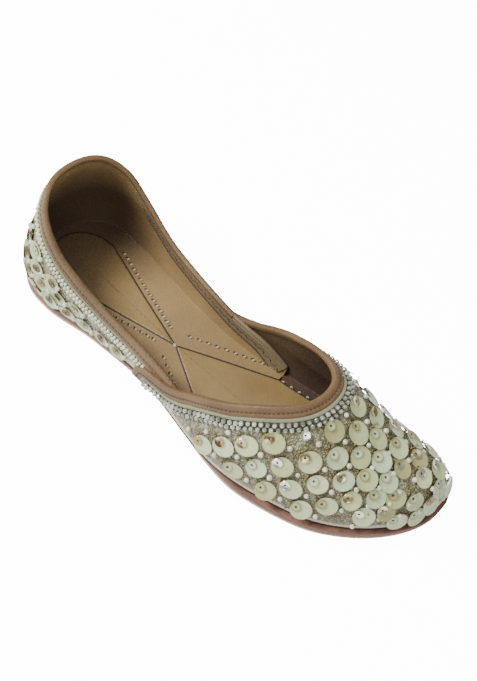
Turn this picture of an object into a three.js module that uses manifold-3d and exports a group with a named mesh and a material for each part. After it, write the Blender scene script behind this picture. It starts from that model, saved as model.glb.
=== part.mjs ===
// A mojari (jutti): a flat leather slip-on shoe with a rounded almond toe, a wide round throat and
// one back piece round the heel. Millimetres, +X to the toe, +Y to the far side, +Z up, and the
// origin on the floor under the middle of the shoe's bounding box.
//
// One last form gives every curved piece. It is a stack of closed loops: each loop is the sole's
// outline drawn in towards a straight spine, by a superellipse in height. Walls are cut between two
// such forms at different offsets from the last.

import * as THREE from 'three';
import { mergeVertices } from 'three/addons/utils/BufferGeometryUtils.js';
import Module from 'manifold-3d';

// ---------------------------------------------------------------- driving dimensions, mm

const SOLE_LENGTH = 250;
const GAP = 0.3; // between pieces that touch
const OUTSOLE_PLY = 1.8;
const MIDSOLE_PLY = 3.4;
const WALL = 1.8; // leather, lining and thread ground of the upper together
const PAD_PLY = 1.8; // sock pads, level with the upper's turned-in edge
const BINDING_PLY = 0.6;
const BINDING_WIDTH = 5.2;

const TOE_SPRING = 8; // rise of the sole at the tip of the toe
const SPRING_START = 48; // x where the sole starts to lift
const ARCH_RISE = 1.2;
const ARCH = { from: -70, to: 30 }; // x range of the arch
const HEEL_LINE = -10.48; // y of the heel's centre line, which puts the shoe's box in the middle

// Plan and profile of the last, a row for each station along the foot.
// near and far are the half widths of the sole to -Y and +Y of its centre line, swing is how far
// the centre line has moved to +Y from the heel's, crown the height of the last, margin the step
// from the edge of the sole in to the foot of the last.
const LAST = [
  { x: -125, near: 33, far: 34, swing: 0, crown: 96, margin: 3 },
  { x: -92, near: 33, far: 34, swing: 0, crown: 94, margin: 3 },
  { x: -60, near: 27.2, far: 29.7, swing: 0, crown: 84, margin: 1.8 },
  { x: -20, near: 24.5, far: 27, swing: 0, crown: 73, margin: 1 },
  { x: 20, near: 32, far: 33, swing: 1.4, crown: 63.5, margin: 2.5 },
  { x: 50, near: 38, far: 38, swing: 6.6, crown: 53, margin: 6.2 },
  { x: 80, near: 36.5, far: 37, swing: 14, crown: 35.5, margin: 7 },
  { x: 104, near: 35.5, far: 36, swing: 24, crown: 22.5, margin: 7 },
  { x: 125, near: 34, far: 34, swing: 34, crown: 12, margin: 7 },
];

// The outline's two round ends: superellipse caps from x = from out to the tip.
const HEEL_CAP = { from: -96, power: 2.15 };
const TOE_CAP = { from: 74, power: 2.25 };

// The section of the last: half width over height, |y|^across + z^up = 1, and a slight bulge low down.
const SECTION = { across: 2.3, up: 2.2, bulge: 0.05, bulgeHeight: 0.35 };
const SPINE = { from: -92, to: 104 };

// Topline of the quarter in side view: height above the floor of the upper at x.
const TOPLINE = [
  { x: -130, z: 60 },
  { x: -118, z: 59.5 },
  { x: -105, z: 51.5 },
  { x: -85, z: 37 },
  { x: -60, z: 26 },
  { x: -24, z: 20.5 },
  { x: 0, z: 17 },
  { x: 20, z: 7 },
];

// Top edges of the vamp's near and far wings in side view, behind the throat's round front.
const WING_TOP = [
  { x: -60, near: 12, far: 13 },
  { x: -24, near: 12.5, far: 13.5 },
  { x: -14, near: 14.5, far: 17 },
  { x: -4, near: 20.3, far: 24 },
  { x: 6, near: 28.8, far: 32 },
  { x: 14, near: 36, far: 38 },
  { x: 22, near: 41.8, far: 43 },
  { x: 30, near: 46.2, far: 47 },
];

// Throat in plan: a superellipse from x = start to x = front, half as wide as half.
const THROAT = { start: -30, front: 52.5, half: 33.5, power: 2.35 };
const WING_END = { back: -31, round: 9 }; // where the vamp's wings end, and the radius of their corner
const QUARTER_FRONT = 20; // where the quarter's wings end, inside the vamp

const KNOT_X = -29; // where the two sock pads meet
const HEEL_PAD = { back: -117, half: 18, power: 2.1, shoulder: -96 };
const FORE_PAD = { shoulder: 20, inset: 3.6 };
const PAD_TIP = 1; // from the knot to each pad's point
const PAD_EDGE = 2; // least step from the sole's edge to a pad

// Steps of the faceted surfaces.
const OUTLINE_STEPS = 56;
const RING_STEPS = 11;
const SLIVER = 0.01; // mm

// ---------------------------------------------------------------- table columns as smooth curves

// Monotone cubic through one column of a table, held flat past its ends.
function column(table, name) {
  const n = table.length;
  const x = table.map((row) => row.x);
  const y = table.map((row) => row[name]);
  const slope = [];
  for (let i = 0; i < n - 1; i++) {
    slope.push((y[i + 1] - y[i]) / (x[i + 1] - x[i]));
  }
  const tangent = y.map((_, i) => {
    if (i === 0) return slope[0];
    if (i === n - 1) return slope[n - 2];
    if (slope[i - 1] * slope[i] <= 0) return 0;
    return (2 * slope[i - 1] * slope[i]) / (slope[i - 1] + slope[i]);
  });
  return (at) => {
    const clamped = THREE.MathUtils.clamp(at, x[0], x[n - 1]);
    let i = 0;
    while (i < n - 2 && clamped > x[i + 1]) i++;
    const width = x[i + 1] - x[i];
    const t = (clamped - x[i]) / width;
    const t2 = t * t;
    const t3 = t2 * t;
    return (
      (2 * t3 - 3 * t2 + 1) * y[i] +
      (t3 - 2 * t2 + t) * width * tangent[i] +
      (3 * t2 - 2 * t3) * y[i + 1] +
      (t3 - t2) * width * tangent[i + 1]
    );
  };
}

const nearHalf = column(LAST, 'near');
const farHalf = column(LAST, 'far');
const swingFromHeel = column(LAST, 'swing');
const swing = (x) => HEEL_LINE + swingFromHeel(x);
const crown = column(LAST, 'crown');
const margin = column(LAST, 'margin');
const topline = column(TOPLINE, 'z');
const nearWing = column(WING_TOP, 'near');
const farWing = column(WING_TOP, 'far');

// ---------------------------------------------------------------- outline and rise of the sole

const HALF_LENGTH = SOLE_LENGTH / 2;

function capFactor(x) {
  if (x < HEEL_CAP.from) {
    const t = (HEEL_CAP.from - x) / (HEEL_CAP.from + HALF_LENGTH);
    return (1 - Math.min(t, 1) ** HEEL_CAP.power) ** (1 / HEEL_CAP.power);
  }
  if (x > TOE_CAP.from) {
    const t = (x - TOE_CAP.from) / (HALF_LENGTH - TOE_CAP.from);
    return (1 - Math.min(t, 1) ** TOE_CAP.power) ** (1 / TOE_CAP.power);
  }
  return 1;
}

// A point of the sole's edge: u runs from 0 at the heel's tip to PI at the toe's, side is -1 or 1.
function edgePoint(u, side) {
  const x = -HALF_LENGTH * Math.cos(u);
  const half = side < 0 ? nearHalf(x) : farHalf(x);
  return new THREE.Vector2(x, swing(x) + side * half * capFactor(x));
}

function edgeNormal(u, side) {
  if (u <= 0) return new THREE.Vector2(-1, 0);
  if (u >= Math.PI) return new THREE.Vector2(1, 0);
  const step = 1e-4;
  const tangent = edgePoint(u + step, side).sub(edgePoint(u - step, side));
  return new THREE.Vector2(-side * tangent.y, side * tangent.x).normalize();
}

// The whole edge, drawn in by inset, from the heel's tip along the near side and back on the far.
function edgeLoop(inset) {
  const loop = [];
  const drawnIn = (u, side) => {
    const point = edgePoint(u, side);
    return point.addScaledVector(edgeNormal(u, side), -inset(point.x));
  };
  for (let i = 0; i <= OUTLINE_STEPS; i++) {
    loop.push(drawnIn((i / OUTLINE_STEPS) * Math.PI, -1));
  }
  for (let i = OUTLINE_STEPS - 1; i > 0; i--) {
    loop.push(drawnIn((i / OUTLINE_STEPS) * Math.PI, 1));
  }
  return loop;
}

// Height of the walking surface over the floor: flat at heel and ball, a low arch, and toe spring.
function rise(x) {
  const lift = THREE.MathUtils.clamp((x - SPRING_START) / (HALF_LENGTH - SPRING_START), 0, 1);
  const arch = THREE.MathUtils.clamp((x - ARCH.from) / (ARCH.to - ARCH.from), 0, 1);
  return TOE_SPRING * lift * lift + ARCH_RISE * Math.sin(Math.PI * arch) ** 2;
}

const MIDSOLE_BASE = OUTSOLE_PLY + GAP;
const UPPER_BASE = MIDSOLE_BASE + MIDSOLE_PLY + GAP;

// ---------------------------------------------------------------- closed meshes and solids

// Joins a stack of loops of equal length into a skin. The first and last loops are drawn together
// onto themselves, so the skin closes.
function skinOf(loops) {
  const count = loops[0].length;
  const positions = loops.flat().flatMap((p) => [p.x, p.y, p.z]);
  const index = [];
  for (let ring = 0; ring < loops.length - 1; ring++) {
    for (let i = 0; i < count; i++) {
      const j = (i + 1) % count;
      const a = ring * count + i;
      const b = ring * count + j;
      index.push(a, b, b + count, a, b + count, a + count);
    }
  }
  return geometryFrom(positions, index);
}

function geometryFrom(positions, index) {
  const geometry = new THREE.BufferGeometry();
  geometry.setAttribute('position', new THREE.Float32BufferAttribute(positions, 3));
  geometry.setIndex(index);
  return geometry;
}

const wasm = await Module();
wasm.setup();

// A solid from a closed geometry. Triangles that lost an edge when points merged are left out.
function solid(geometry) {
  const bare = geometry.clone();
  bare.deleteAttribute('normal');
  bare.deleteAttribute('uv');
  const merged = mergeVertices(bare, 1e-4);
  const raw = merged.index.array;
  const triangles = [];
  for (let i = 0; i < raw.length; i += 3) {
    const [a, b, c] = [raw[i], raw[i + 1], raw[i + 2]];
    if (a !== b && b !== c && c !== a) triangles.push(a, b, c);
  }
  return new wasm.Manifold(
    new wasm.Mesh({
      numProp: 3,
      vertProperties: new Float32Array(merged.attributes.position.array),
      triVerts: new Uint32Array(triangles),
    }),
  );
}

// Slivers that the cuts leave, thinner than SLIVER, are merged away, and so is any loose crumb.
function geometryOf(manifold) {
  const bodies = manifold.simplify(SLIVER).decompose();
  const main = bodies.reduce((most, body) => (body.volume() > most.volume() ? body : most));
  const mesh = main.getMesh();
  return geometryFrom(Array.from(mesh.vertProperties), Array.from(mesh.triVerts));
}

// ---------------------------------------------------------------- the last form

// The last, grown by offset, standing on the sole with its foot lifted by lift.
function lastForm(offset, lift = 0) {
  const foot = edgeLoop((x) => margin(x) - offset);
  const half = foot.length;
  const spine = foot.map((_, i) => {
    const u = (Math.min(i, half - i) / OUTLINE_STEPS) * Math.PI;
    const x = THREE.MathUtils.clamp(-HALF_LENGTH * Math.cos(u), SPINE.from, SPINE.to);
    return new THREE.Vector2(x, swing(x));
  });
  const ringAt = (reach, height) =>
    foot.map((edge, i) => {
      const point = spine[i].clone().lerp(edge, reach);
      const top = crown(point.x) + offset;
      const z = UPPER_BASE + rise(point.x) + Math.max(height * top, lift);
      return new THREE.Vector3(point.x, point.y, z);
    });
  const loops = [ringAt(0, 0)];
  for (let k = 0; k <= RING_STEPS; k++) {
    const phi = (k / RING_STEPS) * (Math.PI / 2);
    const height = Math.sin(phi) ** (2 / SECTION.up);
    const low = THREE.MathUtils.clamp(height / SECTION.bulgeHeight, 0, 1);
    const bulge = 1 + SECTION.bulge * Math.sin(Math.PI * low);
    const reach = k === RING_STEPS ? 0 : Math.cos(phi) ** (2 / SECTION.across) * bulge;
    loops.push(ringAt(reach, height));
  }
  return solid(skinOf(loops));
}

// ---------------------------------------------------------------- cutters

const HIGH = 140; // above everything
const LOW = -10; // under everything
const WIDE = 90; // beyond everything, across

// A prism of a plan outline between two heights.
function planPrism(points, low, high) {
  const shape = new THREE.Shape(points);
  const geometry = new THREE.ExtrudeGeometry(shape, { depth: high - low, bevelEnabled: false });
  geometry.translate(0, 0, low);
  return solid(geometry);
}

// A prism of a side-view outline (x, z), right across the shoe.
function sidePrism(points) {
  const shape = new THREE.Shape(points);
  const geometry = new THREE.ExtrudeGeometry(shape, { depth: 2 * WIDE, bevelEnabled: false });
  geometry.rotateX(Math.PI / 2);
  geometry.translate(0, WIDE, 0);
  return solid(geometry);
}

// Everything over the quarter's topline, lowered by drop and ending ahead of the wings.
function overTopline(drop) {
  const points = [];
  const [first, last] = [TOPLINE[0].x, TOPLINE[TOPLINE.length - 1].x];
  const steps = 40;
  for (let i = 0; i <= steps; i++) {
    const x = first + ((last - first) * i) / steps;
    points.push(new THREE.Vector2(x, UPPER_BASE + topline(x) - drop));
  }
  points.push(new THREE.Vector2(last, HIGH), new THREE.Vector2(first, HIGH));
  return sidePrism(points);
}

// The throat's plan, grown by grow: a superellipse front, and all the width behind it.
function throatPlan(grow) {
  const points = [];
  const steps = 26;
  const half = THROAT.half + grow;
  const reach = THROAT.front - THROAT.start + grow;
  for (let i = 0; i <= steps; i++) {
    const angle = -Math.PI / 2 + (Math.PI * i) / steps;
    const x = THROAT.start + reach * Math.abs(Math.cos(angle)) ** (2 / THROAT.power);
    const across = half * Math.sign(Math.sin(angle)) * Math.abs(Math.sin(angle)) ** (2 / THROAT.power);
    points.push(new THREE.Vector2(x, swing(x) + across));
  }
  points.push(new THREE.Vector2(THROAT.start, WIDE));
  points.push(new THREE.Vector2(-HALF_LENGTH - WIDE, WIDE));
  points.push(new THREE.Vector2(-HALF_LENGTH - WIDE, -WIDE));
  points.push(new THREE.Vector2(THROAT.start, -WIDE));
  return points;
}

// Everything over one wing's top edge and behind its rounded back end, grown by grow.
function overWing(wingTop, grow) {
  const back = WING_END.back + grow;
  const behind = -HALF_LENGTH - WIDE;
  const ahead = THROAT.front + WIDE;
  const floor = UPPER_BASE - WALL;
  const outline = [new THREE.Vector2(behind, floor), new THREE.Vector2(back, floor)];
  const steps = 8;
  const radius = WING_END.round;
  const centreZ = UPPER_BASE + wingTop(back + radius) - grow - radius;
  for (let i = 0; i <= steps; i++) {
    const angle = (Math.PI / 2) * (i / steps);
    outline.push(
      new THREE.Vector2(back + radius * (1 - Math.cos(angle)), centreZ + radius * Math.sin(angle)),
    );
  }
  for (let i = 1; i <= steps; i++) {
    const x = back + radius + ((THROAT.front + grow - back - radius) * i) / steps;
    outline.push(new THREE.Vector2(x, UPPER_BASE + wingTop(x) - grow));
  }
  outline.push(new THREE.Vector2(ahead, UPPER_BASE + wingTop(THROAT.front) - grow));
  outline.push(new THREE.Vector2(ahead, HIGH), new THREE.Vector2(behind, HIGH));
  return sidePrism(outline);
}

// Everything that the vamp leaves open, grown by grow: over its wings, inside the throat's plan.
function vampOpening(grow) {
  const nearHalfSpace = planPrism(
    [
      new THREE.Vector2(-2 * WIDE - HALF_LENGTH, -2 * WIDE),
      new THREE.Vector2(2 * WIDE, -2 * WIDE),
      new THREE.Vector2(2 * WIDE, HEEL_LINE),
      new THREE.Vector2(-2 * WIDE - HALF_LENGTH, HEEL_LINE),
    ],
    LOW - GAP,
    HIGH + 2 * GAP,
  );
  const near = overWing(nearWing, grow).intersect(nearHalfSpace);
  const far = overWing(farWing, grow).subtract(nearHalfSpace);
  return near.add(far).intersect(planPrism(throatPlan(grow), LOW, HIGH + GAP));
}

const slab = (x0, x1, low, high) =>
  planPrism(
    [
      new THREE.Vector2(x0, -WIDE),
      new THREE.Vector2(x1, -WIDE),
      new THREE.Vector2(x1, WIDE),
      new THREE.Vector2(x0, WIDE),
    ],
    low,
    high,
  );

// ---------------------------------------------------------------- sole and sock pads

// A leather ply under the whole shoe, from one height over the walking surface to another.
function ply(inset, low, high) {
  const edge = edgeLoop(() => inset);
  const middle = edge.map((point, i) => {
    const mate = edge[(edge.length - i) % edge.length];
    return new THREE.Vector2((point.x + mate.x) / 2, (point.y + mate.y) / 2);
  });
  const ringAt = (points, z) => points.map((p) => new THREE.Vector3(p.x, p.y, rise(p.x) + z));
  return solid(skinOf([ringAt(middle, low), ringAt(edge, low), ringAt(edge, high), ringAt(middle, high)]));
}

// Plan of the heel pad: a superellipse back, straight sides, and a point at the knot.
function heelPadPlan(grow) {
  const points = [];
  const steps = 20;
  const half = HEEL_PAD.half + grow;
  const reach = HEEL_PAD.shoulder - HEEL_PAD.back + grow;
  for (let i = 0; i <= steps; i++) {
    const angle = Math.PI / 2 + (Math.PI * i) / steps;
    const x = HEEL_PAD.shoulder - reach * Math.abs(Math.cos(angle)) ** (2 / HEEL_PAD.power);
    const across = half * Math.sign(Math.sin(angle)) * Math.abs(Math.sin(angle)) ** (2 / HEEL_PAD.power);
    points.push(new THREE.Vector2(x, swing(x) + across));
  }
  points.push(new THREE.Vector2(KNOT_X - PAD_TIP + grow, swing(KNOT_X)));
  return points;
}

// Plan of the fore pad: a V at the knot, then the last's own foot drawn in.
function forePadPlan(grow) {
  const inset = FORE_PAD.inset - grow;
  const edge = edgeLoop((x) => margin(x) + inset);
  const near = edge.slice(0, OUTLINE_STEPS + 1).filter((p) => p.x > FORE_PAD.shoulder);
  const far = edge.slice(OUTLINE_STEPS + 1).filter((p) => p.x > FORE_PAD.shoulder);
  return [new THREE.Vector2(KNOT_X + PAD_TIP - grow, swing(KNOT_X)), ...near, ...far];
}

// A sock pad of the given plan, lying on the sole.
function pad(plan) {
  return planPrism(plan, LOW, HIGH).intersect(ply(PAD_EDGE, UPPER_BASE, UPPER_BASE + PAD_PLY));
}

const padOpenings = planPrism(heelPadPlan(GAP), LOW, HIGH).add(planPrism(forePadPlan(GAP), LOW, HIGH));

// ---------------------------------------------------------------- upper

// The floor's turned-in edge is a wall thick: the room over it is the last lifted by that much.
const FLOOR_LIFT = WALL;
const padCut = padOpenings.intersect(ply(0, UPPER_BASE - WALL, UPPER_BASE + FLOOR_LIFT + GAP));

function quarter() {
  const wall = lastForm(WALL).subtract(lastForm(0, FLOOR_LIFT));
  return wall
    .subtract(padCut)
    .subtract(overTopline(0))
    .subtract(slab(QUARTER_FRONT, HALF_LENGTH + WIDE, LOW, HIGH));
}

const VAMP_INNER = WALL + GAP;
const VAMP_OUTER = VAMP_INNER + WALL;

function vamp() {
  const wall = lastForm(VAMP_OUTER).subtract(lastForm(VAMP_INNER, FLOOR_LIFT));
  const underQuarter = lastForm(VAMP_INNER).intersect(
    slab(-HALF_LENGTH - WIDE, QUARTER_FRONT + GAP, LOW, HIGH),
  );
  return wall.subtract(padCut).subtract(vampOpening(0)).subtract(underQuarter);
}

// ---------------------------------------------------------------- bindings

// A thin skin over the upper whose outer face is at the given offset from the last.
function skinOver(offset) {
  return lastForm(offset + GAP + BINDING_PLY).subtract(lastForm(offset + GAP));
}

function throatBinding() {
  return skinOver(VAMP_OUTER).intersect(vampOpening(BINDING_WIDTH)).subtract(vampOpening(0));
}

function collarBinding() {
  return skinOver(WALL)
    .intersect(overTopline(BINDING_WIDTH))
    .subtract(overTopline(0))
    .subtract(slab(WING_END.back - GAP, HALF_LENGTH + WIDE, LOW, HIGH));
}

// ---------------------------------------------------------------- assembly

const LEATHER = {
  outsole: { color: 0xb08a6c, roughness: 0.75, metalness: 0 },
  midsole: { color: 0x5d3b30, roughness: 0.6, metalness: 0 },
  sock: { color: 0xa48a60, roughness: 0.55, metalness: 0 },
  binding: { color: 0x96735a, roughness: 0.6, metalness: 0 },
  upper: { color: 0xb9bb98, roughness: 0.7, metalness: 0 },
};

function piece(name, manifold, finish) {
  const mesh = new THREE.Mesh(geometryOf(manifold), new THREE.MeshStandardMaterial(finish));
  mesh.name = name;
  return mesh;
}

const shoe = new THREE.Group();
shoe.add(piece('outsole', ply(0, 0, OUTSOLE_PLY), LEATHER.outsole));
shoe.add(piece('midsole', ply(0, MIDSOLE_BASE, MIDSOLE_BASE + MIDSOLE_PLY), LEATHER.midsole));
shoe.add(piece('heel_pad', pad(heelPadPlan(0)), LEATHER.sock));
shoe.add(piece('fore_pad', pad(forePadPlan(0)), LEATHER.sock));
shoe.add(piece('quarter', quarter(), LEATHER.upper));
shoe.add(piece('vamp', vamp(), LEATHER.upper));
shoe.add(piece('throat_binding', throatBinding(), LEATHER.binding));
shoe.add(piece('collar_binding', collarBinding(), LEATHER.binding));

export default shoe;
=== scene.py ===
"""Looks of a mojari shoe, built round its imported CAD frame.

The shoe has a two-ply leather sole, two sock pads, a back piece (the quarter) and a toe piece (the
vamp). Each sub-assembly below is a class that holds its sizes in millimetres and builds its own
meshes. All curved pieces lie on one last form, which is the same as in the CAD part.
"""

import logging
import math
from dataclasses import dataclass, field
from enum import Enum
from typing import Callable

import bpy
import numpy as np
from mathutils import Matrix, Vector


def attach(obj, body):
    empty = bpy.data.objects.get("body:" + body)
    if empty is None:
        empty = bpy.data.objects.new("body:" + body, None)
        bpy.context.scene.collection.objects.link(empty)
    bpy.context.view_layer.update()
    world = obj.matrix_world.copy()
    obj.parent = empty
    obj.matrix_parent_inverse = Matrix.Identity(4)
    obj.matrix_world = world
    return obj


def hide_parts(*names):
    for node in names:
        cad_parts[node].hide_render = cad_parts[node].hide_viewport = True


Array = np.ndarray
MM = 0.001
BODY = "root"

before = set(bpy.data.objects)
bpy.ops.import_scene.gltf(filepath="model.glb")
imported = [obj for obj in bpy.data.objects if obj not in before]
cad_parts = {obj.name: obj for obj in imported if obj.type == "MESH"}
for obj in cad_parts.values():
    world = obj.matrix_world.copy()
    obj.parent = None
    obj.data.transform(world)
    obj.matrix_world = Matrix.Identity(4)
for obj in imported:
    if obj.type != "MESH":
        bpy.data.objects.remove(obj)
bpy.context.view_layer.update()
log = logging.getLogger("mojari")


# ---------------------------------------------------------------------------- the last form


@dataclass(frozen=True)
class Column:
    """A smooth curve through one column of a short table, monotone between its rows."""

    x: tuple[float, ...]
    y: tuple[float, ...]

    def __call__(self, at: Array) -> Array:
        """Cubic Hermite pieces whose tangents are the harmonic mean of the two slopes.

        Args:
            at: places to read the curve at; past the ends it stays flat.

        Returns:
            The curve's values there.
        """
        x, y = np.array(self.x, float), np.array(self.y, float)
        slope = np.diff(y) / np.diff(x)
        product = slope[:-1] * slope[1:]
        total = np.where(slope[:-1] + slope[1:] == 0, 1.0, slope[:-1] + slope[1:])
        inner = np.where(product > 0, 2 * product / total, 0.0)
        tangent = np.concatenate([slope[:1], inner, slope[-1:]])
        at = np.clip(at, x[0], x[-1])
        i = np.clip(np.searchsorted(x, at, side="right") - 1, 0, len(x) - 2)
        width = x[i + 1] - x[i]
        t = (at - x[i]) / width
        t2, t3 = t * t, t * t * t
        return (
            (2 * t3 - 3 * t2 + 1) * y[i]
            + (t3 - 2 * t2 + t) * width * tangent[i]
            + (3 * t2 - 2 * t3) * y[i + 1]
            + (t3 - t2) * width * tangent[i + 1]
        )


def unit(vectors: Array) -> Array:
    """Vectors scaled to length one."""
    return vectors / np.maximum(np.linalg.norm(vectors, axis=-1, keepdims=True), 1e-12)


def smooth(x: Array, low: float, high: float) -> Array:
    """A soft step, 0 at low and 1 at high: 3t^2 - 2t^3 of the clipped fraction t."""
    t = np.clip((np.asarray(x, float) - low) / (high - low), 0, 1)
    return t * t * (3 - 2 * t)


STATIONS = (-125, -92, -60, -20, 20, 50, 80, 104, 125)


@dataclass(frozen=True)
class Last:
    """The foot's form: the sole's outline drawn in towards a spine by a superellipse in height.

    A place on it is a loop angle v, which is 0 at the heel's tip, negative along the near side and
    positive along the far side up to pi at the toe's tip, and a lift angle phi from 0 at the foot
    to pi / 2 at the spine.
    """

    half_length: float = 125.0
    heel_line: float = -10.48
    base: float = 5.8
    near: Column = Column(STATIONS, (33, 33, 27.2, 24.5, 32, 38, 36.5, 35.5, 34))
    far: Column = Column(STATIONS, (34, 34, 29.7, 27, 33, 38, 37, 36, 34))
    swing_from_heel: Column = Column(STATIONS, (0, 0, 0, 0, 1.4, 6.6, 14, 24, 34))
    crown: Column = Column(STATIONS, (96, 94, 84, 73, 63.5, 53, 35.5, 22.5, 12))
    margin: Column = Column(STATIONS, (3, 3, 1.8, 1, 2.5, 6.2, 7, 7, 7))
    heel_cap: tuple[float, float] = (-96.0, 2.15)
    toe_cap: tuple[float, float] = (74.0, 2.25)
    spine_range: tuple[float, float] = (-92.0, 104.0)
    across: float = 2.3
    up: float = 2.2
    bulge: float = 0.05
    bulge_height: float = 0.35
    spring: float = 8.0
    spring_start: float = 48.0
    arch: tuple[float, float, float] = (1.2, -70.0, 30.0)

    def swing(self, x: Array) -> Array:
        """Place of the centre line across."""
        return self.heel_line + self.swing_from_heel(x)

    def rise(self, x: Array) -> Array:
        """Height of the walking surface: a squared toe spring plus a sine-squared arch.

        Args:
            x: places along the shoe.

        Returns:
            The heights.
        """
        lift = np.clip((x - self.spring_start) / (self.half_length - self.spring_start), 0, 1)
        height, start, end = self.arch
        arch = np.clip((x - start) / (end - start), 0, 1)
        return self.spring * lift**2 + height * np.sin(np.pi * arch) ** 2

    def edge(self, v: Array) -> Array:
        """The sole's edge at loop angle v: half widths times a superellipse cap at either end.

        Args:
            v: loop angles.

        Returns:
            Places (x, y).
        """
        v = (np.asarray(v, float) + np.pi) % (2 * np.pi) - np.pi
        x = -self.half_length * np.cos(v)
        cap = np.ones_like(x)
        for (start, power), sign in ((self.heel_cap, -1), (self.toe_cap, 1)):
            t = np.clip(sign * (x - start) / (self.half_length - sign * start), 0, 1)
            cap = cap * (1 - t**power) ** (1 / power)
        side = np.where(v < 0, -1.0, 1.0)
        half = np.where(v < 0, self.near(x), self.far(x)) * cap
        return np.stack([x, self.swing(x) + side * half], -1)

    def edge_normal(self, v: Array) -> Array:
        """Outward normal of the edge in plan, from a central difference along the loop.

        Args:
            v: loop angles.

        Returns:
            Unit directions (x, y).
        """
        step = 1e-4
        t = self.edge(v + step) - self.edge(v - step)
        return unit(np.stack([-t[..., 1], t[..., 0]], -1))

    def inset(self, v: Array, by: Array) -> Array:
        """The sole's edge drawn in by a distance."""
        return self.edge(v) - self.edge_normal(v) * np.asarray(by, float)[..., None]

    def foot(self, v: Array, offset: float) -> Array:
        """Foot of the form in plan, offset outwards from the last."""
        return self.inset(v, self.margin(self.edge(v)[..., 0]) - offset)

    def spine(self, v: Array) -> Array:
        """The spine's point that the ray at v runs to."""
        x = np.clip(-self.half_length * np.cos(v), *self.spine_range)
        return np.stack([x, self.swing(x)], -1)

    def raised(self, plan: Array, height: float) -> Array:
        """Points that stand at a height over the foot, from places in plan."""
        z = self.base + self.rise(plan[..., 0]) + height
        return np.concatenate([plan, z[..., None]], -1)

    def over_foot(self, points: Array) -> Array:
        """Heights of points over the foot."""
        return points[..., 2] - self.base - self.rise(points[..., 0])

    def reach(self, h: Array) -> Array:
        """Fraction of the way from spine to foot at height fraction h, with the low bulge."""
        swell = 1 + self.bulge * np.sin(np.pi * np.clip(h / self.bulge_height, 0, 1))
        return np.maximum(1 - h**self.up, 0) ** (1 / self.across) * swell

    def at(self, v: Array, phi: Array, offset: float) -> Array:
        """Points of the form: reach cos(phi)^(2/across), height sin(phi)^(2/up) of the crown.

        Args:
            v: loop angles.
            phi: lift angles, of the same shape or one that broadcasts with v.
            offset: distance outwards from the last.

        Returns:
            Points in millimetres, with one more axis of length 3.
        """
        v, phi = np.broadcast_arrays(np.asarray(v, float), np.asarray(phi, float))
        h = np.sin(np.clip(phi, 0, np.pi / 2)) ** (2 / self.up)
        spine = self.spine(v)
        plan = spine + (self.foot(v, offset) - spine) * self.reach(h)[..., None]
        z = self.base + self.rise(plan[..., 0]) + (self.crown(plan[..., 0]) + offset) * h
        return np.concatenate([plan, z[..., None]], -1)

    def normal(self, v: Array, phi: Array, offset: float) -> Array:
        """Outward normals: the cross product of the steps in lift angle and in loop angle.

        Args:
            v: loop angles.
            phi: lift angles.
            offset: distance outwards from the last.

        Returns:
            Unit directions.
        """
        step = 2e-3
        phi = np.clip(phi, 0.01, np.pi / 2 - 0.02)
        around = self.at(v + step, phi, offset) - self.at(v - step, phi, offset)
        rising = self.at(v, phi + step, offset) - self.at(v, phi - step, offset)
        return unit(np.cross(rising, around))

    def place(self, side: Array, x: Array, z: Array, offset: float) -> tuple[Array, Array]:
        """Loop and lift angles of the places that stand z over the foot at x, by small steps.

        Args:
            side: -1 for the near side, 1 for the far side.
            x: places along the shoe.
            z: heights over the foot.
            offset: distance outwards from the last.

        Returns:
            The loop angles and the lift angles.
        """
        v = side * np.arccos(np.clip(-x / self.half_length, -1, 1))
        phi = self.lift_for_height(x, z, offset)
        for _ in range(14):
            miss = x - self.at(v, phi, offset)[..., 0]
            u = np.abs(v) + miss / (self.half_length * np.maximum(np.sin(np.abs(v)), 0.1))
            v = side * np.clip(u, 1e-3, np.pi - 1e-3)
            phi = self.lift_for_height(self.at(v, phi, offset)[..., 0], z, offset)
        return v, phi

    def lift_for_height(self, x: Array, z: Array, offset: float) -> Array:
        """Lift angle at which the form at x stands z over its foot."""
        h = np.clip(z / (self.crown(x) + offset), 0, 1)
        return np.arcsin(h ** (self.up / 2))

    def lift_for_reach(self, reach: Array) -> Array:
        """Lift angle, above the bulge, at which the form comes to a reach.

        Args:
            reach: fractions of the way from spine to foot.

        Returns:
            The lift angles.
        """
        h = np.linspace(self.bulge_height / 2, 1, 600)
        found = np.interp(-np.asarray(reach), -self.reach(h), h)
        return np.arcsin(np.clip(found, 0, 1) ** (self.up / 2))

    def ray_through(self, plan: Array, offset: float) -> tuple[Array, Array]:
        """The ray from spine to foot that passes a point in plan, found by halving the loop.

        Args:
            plan: points (x, y).
            offset: distance outwards from the last.

        Returns:
            Loop angles, and the fractions of the way from spine to foot.
        """
        x, y = plan[..., 0], plan[..., 1]
        tip = self.foot(np.array(np.pi), offset)
        root = self.spine(np.array(np.pi))
        ahead = (tip[0] - root[0]) * (y - root[1]) - (tip[1] - root[1]) * (x - root[0])
        over = np.where(x > root[0], ahead, y - self.swing(x))
        side = np.where(over < 0, -1.0, 1.0)
        low, high = np.zeros_like(x), np.full_like(x, np.pi)
        for _ in range(34):
            middle = (low + high) / 2
            spine = self.spine(side * middle)
            arm = self.foot(side * middle, offset) - spine
            to = plan - spine
            before = -side * (arm[..., 0] * to[..., 1] - arm[..., 1] * to[..., 0]) > 0
            low, high = np.where(before, middle, low), np.where(before, high, middle)
        v = side * (low + high) / 2
        spine = self.spine(v)
        arm = self.foot(v, offset) - spine
        fraction = np.sum((plan - spine) * arm, -1) / np.sum(arm * arm, -1)
        return v, np.clip(fraction, 0, 1.2)

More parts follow.
